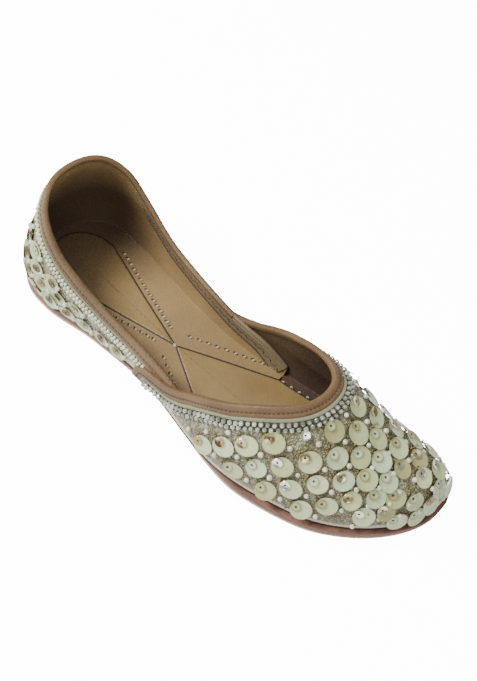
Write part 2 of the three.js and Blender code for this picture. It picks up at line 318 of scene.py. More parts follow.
    def flat(self, v: Array, phi: Array) -> Array:
        """A chart of the form: along each ray, 1 - phi / (pi / 2) of the way to the foot.

        Args:
            v: loop angles.
            phi: lift angles.

        Returns:
            Chart points (x, y).
        """
        spine = self.spine(v)
        share = (1 - np.asarray(phi) / (np.pi / 2))[..., None]
        return spine + (self.foot(v, 0.0) - spine) * share

    def from_flat(self, chart: Array) -> tuple[Array, Array]:
        """Loop and lift angles of points of the chart."""
        v, share = self.ray_through(chart, 0.0)
        return v, (1 - np.clip(share, 0, 1)) * np.pi / 2


LAST = Last()


@dataclass
class Skin:
    """The form at one offset, sampled closely, for laying things on it."""

    offset: float
    points: Array = field(init=False)
    normals: Array = field(init=False)

    def __post_init__(self) -> None:
        """Samples points and normals on a grid of the two angles."""
        v, phi = np.meshgrid(
            np.linspace(-np.pi, np.pi, 520, endpoint=False) + 1e-3,
            np.linspace(0.01, np.pi / 2 - 0.03, 84),
            indexing="ij",
        )
        self.points = LAST.at(v, phi, self.offset).reshape(-1, 3)
        self.normals = LAST.normal(v, phi, self.offset).reshape(-1, 3)

    def drop(self, points: Array) -> tuple[Array, Array]:
        """Nearest places on the skin: the nearest sample's tangent plane takes each point.

        Args:
            points: any array of points whose last axis has length 3.

        Returns:
            The places on the skin and the normals there, of the same shape.
        """
        flat = points.reshape(-1, 3)
        square = np.sum(self.points**2, 1)
        nearest = np.concatenate(
            [
                np.argmin(square[None] - 2 * part @ self.points.T, axis=1)
                for part in np.array_split(flat, len(flat) // 400 + 1)
            ]
        )
        normal = self.normals[nearest]
        gap = np.sum((flat - self.points[nearest]) * normal, 1, keepdims=True)
        return (flat - normal * gap).reshape(points.shape), normal.reshape(points.shape)


# ---------------------------------------------------------------------------- mesh helpers


@dataclass
class Shape:
    """Points in millimetres with quads and triangles over them, and values kept per point."""

    points: Array
    quads: Array = field(default_factory=lambda: np.zeros((0, 4), int))
    triangles: Array = field(default_factory=lambda: np.zeros((0, 3), int))
    values: dict[str, Array] = field(default_factory=dict)

    def facing_out(self) -> "Shape":
        """The same closed shape with its faces turned outwards, by the sign of its volume.

        Returns:
            The shape itself.
        """
        corners = np.concatenate(
            [self.quads[:, [0, 1, 2]], self.quads[:, [0, 2, 3]], self.triangles]
        )
        a, b, c = (self.points[corners[:, i]] for i in range(3))
        if np.sum(np.cross(a, b) * c) < 0:
            self.quads = self.quads[:, ::-1]
            self.triangles = self.triangles[:, ::-1]
        return self


def tube(
    grid: Array, capped: bool, values: dict[str, Array] | None = None, folded: bool = False
) -> Shape:
    """A closed profile carried along a path.

    Args:
        grid: points (along, round, 3); the last of each profile joins its first.
        capped: whether flat caps close the two ends; otherwise the path closes on itself.
        values: named numbers, one for each point, of shape (along, round).
        folded: whether the profile runs out and back, so that its caps are strips, not fans.

    Returns:
        A closed shape.
    """
    along, round_, _ = grid.shape
    last = along - 1 if capped else along
    i, j = np.meshgrid(np.arange(last), np.arange(round_), indexing="ij")
    ahead, beside = (i + 1) % along, (j + 1) % round_
    corners = [i * round_ + j, ahead * round_ + j, ahead * round_ + beside, i * round_ + beside]
    quads = np.stack(corners, -1).reshape(-1, 4)
    points = grid.reshape(-1, 3)
    kept = {name: value.reshape(-1) for name, value in (values or {}).items()}
    triangles = np.zeros((0, 3), int)
    if capped and folded:
        out = np.arange(round_ // 2 - 1)
        strip = np.stack([out, out + 1, round_ - 2 - out, round_ - 1 - out], 1)
        quads = np.concatenate([quads, strip, (along - 1) * round_ + strip[:, ::-1]])
    elif capped:
        ring = np.arange(round_)
        turn = np.roll(ring, -1)
        first, final = len(points), len(points) + 1
        start = (along - 1) * round_
        triangles = np.concatenate(
            [
                np.stack([ring, turn, np.full(round_, first)], 1),
                np.stack([start + turn, start + ring, np.full(round_, final)], 1),
            ]
        )
        points = np.concatenate([points, [grid[0].mean(0), grid[-1].mean(0)]])
        kept = {k: np.concatenate([x, [x[0], x[start]]]) for k, x in kept.items()}
    return Shape(points, quads, triangles, kept).facing_out()


def welded(shape: Shape, grain: float = 1e-3) -> Shape:
    """The shape with points closer than a grain made one.

    Args:
        shape: a shape whose seams or poles are doubled.
        grain: the distance, in millimetres.

    Returns:
        The closed shape; a quad that lost a corner is a triangle.
    """
    cells = np.round(shape.points / grain).astype(np.int64)
    _, first, to = np.unique(cells, axis=0, return_index=True, return_inverse=True)
    quads = to.reshape(-1)[shape.quads]
    lost = quads == np.roll(quads, -1, axis=1)
    narrow = lost.sum(1) == 1
    triangles = quads[narrow][~lost[narrow]].reshape(-1, 3)
    kept = {name: value[first] for name, value in shape.values.items()}
    return Shape(shape.points[first], quads[lost.sum(1) == 0], triangles, kept)


def stack(loops: Array) -> Shape:
    """Rings of equal count joined in order, the first and last closed by fans.

    Args:
        loops: points (rings, round, 3).

    Returns:
        A closed shape.
    """
    rings, round_, _ = loops.shape
    i, j = np.meshgrid(np.arange(rings - 1), np.arange(round_), indexing="ij")
    beside = (j + 1) % round_
    corners = [i * round_ + j, i * round_ + beside, (i + 1) * round_ + beside, (i + 1) * round_ + j]
    ring, turn = np.arange(round_), np.roll(np.arange(round_), -1)
    start, count = (rings - 1) * round_, rings * round_
    triangles = np.concatenate(
        [
            np.stack([turn, ring, np.full(round_, count)], 1),
            np.stack([start + ring, start + turn, np.full(round_, count + 1)], 1),
        ]
    )
    points = np.concatenate([loops.reshape(-1, 3), [loops[0].mean(0), loops[-1].mean(0)]])
    return Shape(points, np.stack(corners, -1).reshape(-1, 4), triangles).facing_out()


def lathe(profile: list[tuple[float, float]], sides: int) -> Shape:
    """A profile of (radius, height) turned about Z, closed at both ends by fans.

    Args:
        profile: places (radius, height).
        sides: points round it.

    Returns:
        A closed shape.
    """
    angle = np.arange(sides) / sides * 2 * np.pi
    radius, height = np.array(profile, float).T
    ring = np.stack(
        [
            radius[:, None] * np.cos(angle),
            radius[:, None] * np.sin(angle),
            np.repeat(height[:, None], sides, 1),
        ],
        -1,
    )
    return stack(ring)


def hoop(profile: list[tuple[float, float]], sides: int) -> Shape:
    """A closed profile of (radius, height) turned about Z, with a hole through the middle.

    Args:
        profile: places (radius, height).
        sides: points round it.

    Returns:
        A closed ring.
    """
    angle = np.arange(sides) / sides * 2 * np.pi
    radius, height = np.array(profile, float).T
    x, y = np.cos(angle)[:, None] * radius, np.sin(angle)[:, None] * radius
    return tube(np.stack([x, y, np.repeat(height[None], sides, 0)], -1), capped=False)


def many(pattern: Shape, places: Array, axes: Array, values: dict[str, Array]) -> Shape:
    """One shape set down many times and joined, each copy turned by its own axes.

    Args:
        pattern: the shape to copy, about its own origin.
        places: origins (n, 3).
        axes: (n, 3, 3); the rows are where the shape's X, Y and Z point, with any scale.
        values: named numbers, one for each copy.

    Returns:
        The joined shape.
    """
    count, size = len(places), len(pattern.points)
    points = places[:, None] + np.einsum("kj,njc->nkc", pattern.points, axes)
    shift = (np.arange(count) * size)[:, None, None]
    return Shape(
        points.reshape(-1, 3),
        (pattern.quads[None] + shift).reshape(-1, 4),
        (pattern.triangles[None] + shift).reshape(-1, 3),
        {name: np.repeat(value, size) for name, value in values.items()}
        | {name: np.tile(value, count) for name, value in pattern.values.items()},
    )


def axes_from(toward: Array, normal: Array) -> Array:
    """Right-handed axes whose X points along toward, laid square to the normal Z.

    Args:
        toward: directions for X.
        normal: directions for Z.

    Returns:
        Axes (..., 3, 3), a row for each.
    """
    z = unit(normal)
    x = unit(toward - z * np.sum(toward * z, -1, keepdims=True))
    return np.stack([x, np.cross(z, x), z], -2)


def tilted(axes: Array, about: Array, across: Array) -> Array:
    """Axes turned by small angles: about their X and across about their Y, in radians.

    Args:
        axes: axes (n, 3, 3).
        about: angles about X.
        across: angles about Y.

    Returns:
        The turned axes.
    """
    x, y, z = axes[:, 0], axes[:, 1], axes[:, 2]
    z2 = unit(z + y * np.tan(about)[:, None] + x * np.tan(across)[:, None])
    return axes_from(x, z2)


class Edges(Enum):
    """How a piece's faces are shaded where they meet."""

    SOFT = "soft"
    CRISP = "crisp"


def make_piece(
    name: str,
    shape: Shape,
    material: bpy.types.Material,
    edges: Edges = Edges.SOFT,
    stands_for: tuple[str, ...] = (),
) -> bpy.types.Object:
    """Puts a shape into Blender as a piece that rides on the shoe.

    Args:
        name: the piece's name.
        shape: its surface in millimetres.
        material: its finish.
        edges: CRISP keeps edges sharper than 40 degrees sharp.
        stands_for: CAD nodes that it takes the place of.

    Returns:
        The new object.
    """
    mesh = bpy.data.meshes.new(name)
    quads, triangles = shape.quads, shape.triangles
    corners = np.concatenate([quads.reshape(-1), triangles.reshape(-1)]).astype(np.int32)
    sizes = np.concatenate([np.full(len(quads), 4), np.full(len(triangles), 3)])
    starts = np.concatenate([[0], np.cumsum(sizes)[:-1]]).astype(np.int32)
    mesh.vertices.add(len(shape.points))
    mesh.vertices.foreach_set("co", (shape.points * MM).astype(np.float32).reshape(-1))
    mesh.loops.add(len(corners))
    mesh.loops.foreach_set("vertex_index", corners)
    mesh.polygons.add(len(sizes))
    mesh.polygons.foreach_set("loop_start", starts)
    mesh.update(calc_edges=True)
    mesh.validate()
    mesh.shade_smooth()
    if edges is Edges.CRISP:
        mesh.set_sharp_from_angle(angle=math.radians(40))
    for key, value in shape.values.items():
        attribute = mesh.attributes.new(key, "FLOAT", "POINT")
        attribute.data.foreach_set("value", value.astype(np.float32))
    mesh.materials.append(material)
    piece = bpy.data.objects.new(name, mesh)
    bpy.context.scene.collection.objects.link(piece)
    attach(piece, BODY)
    if stands_for:
        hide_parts(*stands_for)
    log.info("%s: %d faces", name, len(sizes))
    return piece


# ---------------------------------------------------------------------------- finishes

Socket = bpy.types.NodeSocket
Colour = tuple[float, float, float]
Varying = tuple[Socket, Socket | None, Socket | None]


class Nodes:
    """Adds nodes to one tree and joins them, with the object's own coordinates to hand."""

    def __init__(self, tree: bpy.types.NodeTree) -> None:
        """Keeps the tree.

        Args:
            tree: a material's or a group's node tree.
        """
        self.tree = tree

    def add(self, kind: str, inputs: dict[str | int, object] | None = None, **settings) -> bpy.types.Node:
        """Adds a node.

        Args:
            kind: the node's type name.
            inputs: for each input socket a value, or another node's socket to join to it.
            settings: the node's own properties.

        Returns:
            The node.
        """
        node = self.tree.nodes.new(kind)
        for key, value in settings.items():
            setattr(node, key, value)
        for key, value in (inputs or {}).items():
            if isinstance(value, bpy.types.NodeSocket):
                self.tree.links.new(value, node.inputs[key])
            else:
                node.inputs[key].default_value = value
        return node

    def place(self) -> Socket:
        """The object's own coordinates, in metres."""
        return self.add("ShaderNodeTexCoord").outputs["Object"]

    def kept(self, name: str) -> Socket:
        """A number kept on the piece's points."""
        return self.add("ShaderNodeAttribute", attribute_name=name).outputs["Fac"]

    def mix(self, share: Socket | float, a: object, b: object) -> Socket:
        """A blend of two colours."""
        inputs = {0: share, 6: self.rgba(a), 7: self.rgba(b)}
        return self.add("ShaderNodeMix", inputs, data_type="RGBA").outputs[2]

    def darken(self, colour: object, by: Socket) -> Socket:
        """A colour multiplied by a grey value."""
        inputs = {0: 1.0, 6: self.rgba(colour), 7: by}
        return self.add("ShaderNodeMix", inputs, data_type="RGBA", blend_type="MULTIPLY").outputs[2]

    def span(self, value: Socket, low: float, high: float, to_low: float, to_high: float) -> Socket:
        """A value taken from one range to another and held at its ends."""
        inputs = {0: value, 1: low, 2: high, 3: to_low, 4: to_high}
        return self.add("ShaderNodeMapRange", inputs).outputs[0]

    def maths(self, how: str, a: Socket | float, b: Socket | float) -> Socket:
        """Two values put together by one operation."""
        return self.add("ShaderNodeMath", {0: a, 1: b}, operation=how).outputs[0]

    def noise(self, place: Socket, scale: Socket | float, detail: float) -> Socket:
        """Cloudy noise at a place."""
        inputs = {"Vector": place, "Scale": scale, "Detail": detail}
        return self.add("ShaderNodeTexNoise", inputs).outputs[0]

    def cells(self, place: Socket, scale: Socket, warp: float, by: float) -> bpy.types.Node:
        """Cells whose walls are bent: the place is pushed about by coloured noise first.

        Args:
            place: where to read them.
            scale: how many there are in a metre.
            warp: scale of the noise.
            by: how far it pushes, in metres.

        Returns:
            The node.
        """
        noise = self.add("ShaderNodeTexNoise", {"Vector": place, "Scale": warp, "Detail": 2.0})
        push = self.add("ShaderNodeVectorMath", {0: noise.outputs["Color"], 3: by}, operation="SCALE")
        moved = self.add("ShaderNodeVectorMath", {0: place, 1: push.outputs[0]}, operation="ADD")
        return self.add("ShaderNodeTexVoronoi", {"Vector": moved.outputs[0], "Scale": scale})

    def give(self, out: bpy.types.Node, values: dict[str, Socket]) -> None:
        """Joins values to a node's inputs."""
        for key, value in values.items():
            self.tree.links.new(value, out.inputs[key])

    def ramp(self, value: Socket, stops: tuple[tuple[float, Colour], ...]) -> Socket:
        """Colours at places along a value.

        Args:
            value: the value.
            stops: places and colours, in order.

        Returns:
            The colour.
        """
        node = self.add("ShaderNodeValToRGB", {0: value})
        line = node.color_ramp
        line.elements[0].position, line.elements[1].position = stops[0][0], stops[-1][0]
        line.elements[0].color, line.elements[1].color = (*stops[0][1], 1), (*stops[-1][1], 1)
        for at, colour in stops[1:-1]:
            line.elements.new(at).color = (*colour, 1)
        return node.outputs[0]

    @staticmethod
    def rgba(value: object) -> object:
        """A colour with its fourth number, or the socket as it is."""
        return value if isinstance(value, bpy.types.NodeSocket) else (*value, 1.0)


def group(name: str, inputs: dict[str, tuple[str, object]], outputs: dict[str, str]) -> tuple:
    """Starts a shader node group.

    Args:
        name: the group's name.
        inputs: for each input socket its type and default.
        outputs: for each output socket its type.

    Returns:
        The group, its nodes, the socket-bearing input node and output node.
    """
    tree = bpy.data.node_groups.new(name, "ShaderNodeTree")
    for key, (kind, value) in inputs.items():
        socket = tree.interface.new_socket(key, in_out="INPUT", socket_type=kind)
        if value is not None:
            socket.default_value = value
    for key, kind in outputs.items():
        tree.interface.new_socket(key, in_out="OUTPUT", socket_type=kind)
    nodes = Nodes(tree)
    return tree, nodes, nodes.add("NodeGroupInput"), nodes.add("NodeGroupOutput")


FLOAT, VECTOR, COLOUR = "NodeSocketFloat", "NodeSocketVector", "NodeSocketColor"


def leather_grain() -> bpy.types.NodeTree:
    """Pebbled grain with fine pores: cell distances under a slow noise, as a height and a shade.

    Returns:
        The group.
    """
    inputs = {"Place": (VECTOR, None), "Cells": (FLOAT, 900.0), "Patches": (FLOAT, 40.0)}
    tree, n, given, out = group("Leather grain", inputs, {"Height": FLOAT, "Shade": FLOAT})
    place = given.outputs["Place"]
    cells = n.cells(place, given.outputs["Cells"], 260.0, 0.0012)
    soft, slow = n.noise(place, 320.0, 4.0), n.noise(place, given.outputs["Patches"], 3.0)
    pebble = n.span(cells.outputs["Distance"], 0.1, 0.6, 0.0, 1.0)
    height = n.maths("ADD", n.maths("MULTIPLY", pebble, -0.5), soft)
    patches = n.span(slow, 0.3, 0.7, 0.84, 1.06)
    shade = n.maths("ADD", patches, n.maths("MULTIPLY", pebble, -0.07))
    n.give(out, {"Height": height, "Shade": shade})
    return tree


def thread_ground() -> bpy.types.NodeTree:
    """Ground worked over in short metallic stitches: stretched cells, each with its own tone.

    Returns:
        The group.
    """
    inputs = {"Place": (VECTOR, None), "Cells": (FLOAT, 1000.0)}
    outputs = {"Height": FLOAT, "Tone": FLOAT, "Gap": FLOAT, "Patch": FLOAT}
    tree, n, given, out = group("Thread ground", inputs, outputs)
    place = given.outputs["Place"]
    cells = n.cells(place, given.outputs["Cells"], 180.0, 0.003)
    tone = n.add("ShaderNodeSeparateColor", {0: cells.outputs["Color"]})
    slow, distance = n.noise(place, 150.0, 3.0), cells.outputs["Distance"]
    height, gap = n.span(distance, 0.0, 0.65, 1.0, 0.0), n.span(distance, 0.35, 0.65, 0.0, 1.0)
    patch = n.span(slow, 0.42, 0.6, 0.0, 1.0)
    n.give(out, {"Height": height, "Tone": tone.outputs[0], "Gap": gap, "Patch": patch})
    return tree


def ply_streaks() -> bpy.types.NodeTree:
    """Level streaks of a cut leather edge: noise squashed in height, as a value and a height.

    Returns:
        The group.
    """
    outputs = {"Streak": FLOAT, "Height": FLOAT}
    tree, n, given, out = group("Ply streaks", {"Place": (VECTOR, None)}, outputs)
    place = given.outputs["Place"]
    squash = n.add("ShaderNodeMapping", {"Vector": place, "Scale": (60.0, 60.0, 1900.0)})
    lines, specks = n.noise(squash.outputs[0], 1.0, 4.0), n.noise(place, 700.0, 3.0)
    streak = n.span(lines, 0.35, 0.68, 0.0, 1.0)
    n.give(out, {"Streak": streak, "Height": n.maths("ADD", lines, specks)})
    return tree


GROUPS: dict[str, bpy.types.NodeTree] = {}


def placed(nodes: Nodes, name: str, inputs: dict[str, object]) -> bpy.types.Node:
    """Places a shared group in a material, making the group the first time.

    Args:
        nodes: the material's nodes.
        name: which group.
        inputs: its inputs but the place.

    Returns:
        The group's node.
    """
    makers = {"grain": leather_grain, "ground": thread_ground, "streaks": ply_streaks}
    if name not in GROUPS:
        GROUPS[name] = makers[name]()
    return nodes.add("ShaderNodeGroup", {"Place": nodes.place(), **inputs}, node_tree=GROUPS[name])


@dataclass(frozen=True)
class Finish:
    """What every finish has: a name, a roughness and the shader's plain settings."""

    name: str
    roughness: float = 0.5
    metallic: float = 0.0
    coat: float = 0.0
    coat_roughness: float = 0.1
    sheen: float = 0.0
    subsurface: float = 0.0
    bump: float = 0.0002

    def make(self) -> bpy.types.Material:
        """Builds the material: the shader's own numbers first, then what varies over it.

        Returns:
            The material.
        """
        material = bpy.data.materials.new(self.name)
        material.use_nodes = True
        material.node_tree.nodes.clear()
        n = Nodes(material.node_tree)
        shader = n.add(
            "ShaderNodeBsdfPrincipled",
            {
                "Roughness": self.roughness,
                "Metallic": self.metallic,
                "Coat Weight": self.coat,
                "Coat Roughness": self.coat_roughness,
                "Sheen Weight": self.sheen,
                "Subsurface Weight": self.subsurface,
                "Subsurface Scale": 0.002,
            },
        )
        out = n.add("ShaderNodeOutputMaterial")
        n.tree.links.new(shader.outputs[0], out.inputs[0])
        colour, height, roughness = self.surface(n)
        n.tree.links.new(colour, shader.inputs["Base Color"])
        if roughness is not None:
            n.tree.links.new(roughness, shader.inputs["Roughness"])
        if height is not None:
            bump = n.add("ShaderNodeBump", {"Height": height, "Distance": self.bump, "Strength": 1.0})
            n.tree.links.new(bump.outputs[0], shader.inputs["Normal"])
        return material

    def surface(self, n: Nodes) -> Varying:
        """The colour, the bump's height and the roughness that vary over the surface."""
        raise NotImplementedError


@dataclass(frozen=True)
class Leather(Finish):
    """Soft leather with pebbled grain, slow patches of tone and, if it has a kept "shade", painted shade
    towards its dim tone.
    """

    colour: Colour = (0.3, 0.2, 0.12)
    deep: Colour = (0.2, 0.12, 0.07)
    # colour of the painted shade
    dim: Colour = (0.05, 0.03, 0.02)
    cells: float = 900.0
    shaded: bool = False

    def surface(self, n: Nodes) -> Varying:
        """Two tones blended by the slow patches, darkened in the pores.

        Args:
            n: the material's nodes.

        Returns:
            The colour, the bump's height and the roughness.
        """
        grain = placed(n, "grain", {"Cells": self.cells})
        colour = n.mix(n.span(grain.outputs["Shade"], 0.8, 1.05, 0.0, 1.0), self.deep, self.colour)
        if self.shaded:
            # painted shade: blends towards the dim colour by the kept shade value
            colour = n.mix(n.kept("shade"), colour, self.dim)
        rough = n.span(grain.outputs["Height"], 0.0, 0.8, self.roughness - 0.1, self.roughness + 0.08)
        return colour, grain.outputs["Height"], rough


@dataclass(frozen=True)
class CutEdge(Finish):
    """A sole ply: streaked cut edge, mottled flat faces."""

    colour: Colour = (0.3, 0.15, 0.1)
    deep: Colour = (0.12, 0.06, 0.04)

    def surface(self, n: Nodes) -> Varying:
        """Streaks blended with the patches of the grain.

        Args:
            n: the material's nodes.

        Returns:
            The colour, the bump's height and the roughness.
        """
        streaks = placed(n, "streaks", {})
        grain = placed(n, "grain", {"Cells": 600.0})
        share = n.maths("MULTIPLY", streaks.outputs["Streak"], grain.outputs["Shade"])
        colour = n.mix(share, self.deep, self.colour)
        rough = n.span(streaks.outputs["Streak"], 0.0, 1.0, self.roughness + 0.1, self.roughness - 0.08)
        return colour, streaks.outputs["Height"], rough


@dataclass(frozen=True)
class Ground(Finish):
    """Mint-grey and golden threads, turning to a plain beige strip just over the sole."""

    mint: Colour = (0.27, 0.29, 0.15)
    pale: Colour = (0.40, 0.43, 0.27)
    spark: Colour = (0.58, 0.54, 0.33)
    gold: Colour = (0.15, 0.10, 0.032)
    gap: Colour = (0.05, 0.038, 0.014)
    beige: Colour = (0.66, 0.52, 0.38)
    strip: float = 4.8

    def surface(self, n: Nodes) -> Varying:
        """Tones by stitch and by patch, dark in the gaps; "above" is the height over the sole.

        Args:
            n: the material's nodes.

        Returns:
            The colour, the bump's height and the roughness.
        """
        ground = placed(n, "ground", {})
        tone = n.ramp(
            ground.outputs["Tone"],
            ((0.0, self.gold), (0.4, self.mint), (0.75, self.pale), (1.0, self.spark)),
        )
        colour = n.mix(n.maths("MULTIPLY", ground.outputs["Patch"], 0.6), tone, self.gold)
        colour = n.mix(n.maths("MULTIPLY", ground.outputs["Gap"], 0.7), colour, self.gap)
        plain = n.span(n.kept("above"), self.strip - 0.4, self.strip + 0.4, 1.0, 0.0)
        grain = placed(n, "grain", {"Cells": 1300.0})
        beige = n.darken(self.beige, grain.outputs["Shade"])
        raised = n.maths("MULTIPLY", ground.outputs["Height"], n.maths("SUBTRACT", 1.0, plain))
        return n.mix(plain, colour, beige), raised, None


@dataclass(frozen=True)
class Varied(Finish):
    """Small parts whose kept "tint" picks each one's own colour, with a fine unevenness, and painted
    shade at their edges where rim is set.
    """

    stops: tuple[tuple[float, Colour], ...] = ((0.0, (0.8, 0.8, 0.8)), (1.0, (0.9, 0.9, 0.9)))
    wobble: float = 300.0
    # share of painted shade where the kept "rim" value is 1
    rim: float = 0.0

    def surface(self, n: Nodes) -> Varying:
        """The tint's colour, slightly uneven, over a slow wobble of the surface.

        Args:
            n: the material's nodes.

        Returns:
            The colour, the bump's height and the roughness.
        """
        noise = n.noise(n.place(), self.wobble, 2.0)
        shade = n.span(noise, 0.3, 0.7, 0.9, 1.05)
        rough = n.span(noise, 0.3, 0.7, self.roughness * 0.8, self.roughness * 1.25)
        if self.rim:
            # painted shade: darker towards each sequin's edges
            shade = n.maths("MULTIPLY", shade, n.span(n.kept("rim"), 0.0, 1.0, 1.0, 1.0 - self.rim))
        return n.darken(n.ramp(n.kept("tint"), self.stops), shade), noise, rough


@dataclass(frozen=True)
class Twist(Finish):
    """Twisted thread: fine slanting ridges."""

    colour: Colour = (0.7, 0.65, 0.5)
    deep: Colour = (0.4, 0.35, 0.25)

    def surface(self, n: Nodes) -> Varying:
        """Slanting waves for the twist, darker between strands.

        Args:
            n: the material's nodes.

        Returns:
            The colour, the bump's height and the roughness.
        """
        inputs = {"Vector": n.place(), "Scale": 900.0, "Distortion": 1.5, "Detail": 1.0}
        wave = n.add("ShaderNodeTexWave", inputs, bands_direction="DIAGONAL")
        return n.mix(wave.outputs["Fac"], self.deep, self.colour), wave.outputs["Fac"], None


SOCK = Leather(
    "sock leather", 0.42, colour=(0.27, 0.18, 0.07), deep=(0.205, 0.132, 0.048), dim=(0.06, 0.036, 0.02),
    cells=1100.0, shaded=True,
)
LINING = Leather(
    "lining leather", 0.5, colour=(0.27, 0.18, 0.074), deep=(0.2, 0.13, 0.055), dim=(0.05, 0.029, 0.022),
    cells=1000.0, shaded=True,
)
BINDING = Leather(
    "binding leather", 0.6, colour=(0.158, 0.092, 0.036), deep=(0.10, 0.055, 0.02), cells=1200.0
)
FACING = Leather(
    "facing leather", 0.55, colour=(0.20, 0.152, 0.086), deep=(0.14, 0.105, 0.058), cells=1200.0
)
UPPER_GROUND = Ground("worked ground", 0.55, sheen=0.2, bump=0.0006)
HEEL_GROUND = Ground(
    "pale worked ground", 0.5, sheen=0.2, bump=0.0006,
    mint=(0.44, 0.47, 0.30), pale=(0.60, 0.62, 0.46), spark=(0.75, 0.73, 0.55),
    gold=(0.30, 0.24, 0.11), gap=(0.14, 0.12, 0.06),
)
OUTSOLE_PLY = CutEdge("outsole leather", 0.6, colour=(0.62, 0.44, 0.32), deep=(0.42, 0.27, 0.18))
MIDSOLE_PLY = CutEdge("midsole leather", 0.5, colour=(0.225, 0.105, 0.068), deep=(0.10, 0.046, 0.03))
PALE_STRIP = Twist("pale strip", 0.6, colour=(0.36, 0.37, 0.23), deep=(0.24, 0.25, 0.15))
THREAD = Twist("stitch thread", 0.6, colour=(0.58, 0.49, 0.32), deep=(0.36, 0.28, 0.17))
BROWN_THREAD = Twist("brown thread", 0.7, colour=(0.12, 0.06, 0.032), deep=(0.06, 0.03, 0.018))
DARK_THREAD = Twist("dark ground thread", 0.8, colour=(0.10, 0.09, 0.055), deep=(0.045, 0.038, 0.024))
SLIT = Leather("slit shade", 0.8, colour=(0.05, 0.03, 0.016), deep=(0.03, 0.018, 0.01))
SEQUIN_STOPS = (
    (0.0, (0.34, 0.31, 0.13)), (0.2, (0.45, 0.46, 0.20)), (0.5, (0.49, 0.54, 0.28)),
    (0.8, (0.52, 0.60, 0.38)), (1.0, (0.62, 0.63, 0.33)),
)
CUPS = Varied(
    "cup sequin", 0.3, coat=0.35, coat_roughness=0.15, subsurface=0.1, bump=0.0003, rim=0.55,
    stops=SEQUIN_STOPS,
)
METAL = Varied(
    "metal sequin", 0.2, metallic=1.0, bump=0.0003,
    stops=(
        (0.0, (0.34, 0.17, 0.10)), (0.1, (0.40, 0.25, 0.14)), (0.2, (0.42, 0.33, 0.15)),
        (0.45, (0.78, 0.70, 0.42)), (1.0, (0.93, 0.92, 0.82)),
    ),
)
BRONZE = Varied(
    "bronze sequin", 0.3, metallic=0.8, bump=0.0003,
    stops=((0.0, (0.09, 0.05, 0.02)), (0.75, (0.20, 0.13, 0.055)), (1.0, (0.50, 0.46, 0.30))),
)
PEARLS = Varied(
    "pearl", 0.25, coat=0.8, subsurface=0.2, bump=0.00005,
    stops=((0.0, (0.50, 0.50, 0.33)), (1.0, (0.66, 0.68, 0.52))),
)
GLASS = Varied(
    "glass bead", 0.18, metallic=0.5, coat=1.0, bump=0.0002,
    stops=((0.0, (0.22, 0.24, 0.17)), (0.5, (0.40, 0.42, 0.33)), (1.0, (0.66, 0.68, 0.58))),
)
ZARI = Varied(
    "zari knot", 0.4, metallic=0.7, bump=0.0003,
    stops=((0.0, (0.12, 0.09, 0.025)), (1.0, (0.36, 0.30, 0.12))),
)
HOLES = Varied("bead hole", 0.6, stops=((0.0, (0.02, 0.016, 0.01)), (1.0, (0.05, 0.04, 0.02))))


# ---------------------------------------------------------------------------- lines on the form

SKINS: dict[float, Skin] = {}


def skin(offset: float) -> Skin:
    """The form's skin at an offset, sampled once.

    Args:
        offset: distance outwards from the last.

    Returns:
        The skin.
    """
    if offset not in SKINS:
        SKINS[offset] = Skin(offset)
    return SKINS[offset]


def spaced(points: Array, count: int = 0, pitch: float = 0.0) -> Array:
    """Places of even spacing along a line, as fractional indices into its points.

    Args:
        points: the line (n, d).
        count: how many places, ends included; or
        pitch: their spacing, with half a pitch left at either end.

    Returns:
        Fractional indices.
    """
    length = np.concatenate([[0], np.cumsum(np.linalg.norm(np.diff(points, axis=0), axis=1))])
    if count:
        at = np.linspace(0, length[-1], count)
    else:
        fits = max(int(length[-1] / pitch), 1)
        at = (np.arange(fits) + 0.5) * length[-1] / fits
    return np.interp(at, length, np.arange(len(points)))


def read(values: Array, index: Array) -> Array:
    """Values at fractional indices, column by column."""
    whole = np.arange(len(values))
    return np.stack([np.interp(index, whole, column) for column in values.T], -1)


@dataclass
class Line:
    """A line lying on the form, kept as its points on the chart.

    It runs so that the cross product of its direction and the outward normal points away from
    the opening that it borders, down towards the sole.
    """

    chart: Array

    def frame(self, offset: float) -> tuple[Array, Array, Array]:
        """Points at an offset, the directions away from the opening, and the normals.

        Args:
            offset: distance outwards from the last.

        Returns:
            The three arrays, each (n, 3).
        """
        v, phi = LAST.from_flat(self.chart)
        points = LAST.at(v, phi, offset)
        normal = LAST.normal(v, phi, offset)
        along = unit(np.gradient(points, axis=0))
        return points, unit(np.cross(along, normal)), normal

    def laid(self, offset: float, away: Array) -> tuple[Array, Array]:
        """Points and normals on the skin at distances away from the line, (n, len(away), 3).

        Args:
            offset: the skin they lie on.
            away: the distances.

        Returns:
            The points and the normals.
        """
        points, out, _ = self.frame(offset)
        raw = points[:, None] + out[:, None] * np.asarray(away, float)[None, :, None]
        return skin(offset).drop(raw)

    def row(self, offset: float, away: float, lift: float, pitch: float) -> tuple[Array, Array]:
        """Places of even spacing along the line's copy at a distance away.

        Args:
            offset: the skin they lie on.
            away: distance from the line.
            lift: height over the skin, negative towards the inside.
            pitch: spacing.

        Returns:
            The places, and axes whose X runs along the line and Z is the outward normal.
        """
        points, normal = (part[:, 0] for part in self.laid(offset, np.array([away])))
        index = spaced(points, pitch=pitch)
        along = read(np.gradient(points, axis=0), index)
        out = unit(read(normal, index))
        return read(points, index) + out * lift, axes_from(along, out)


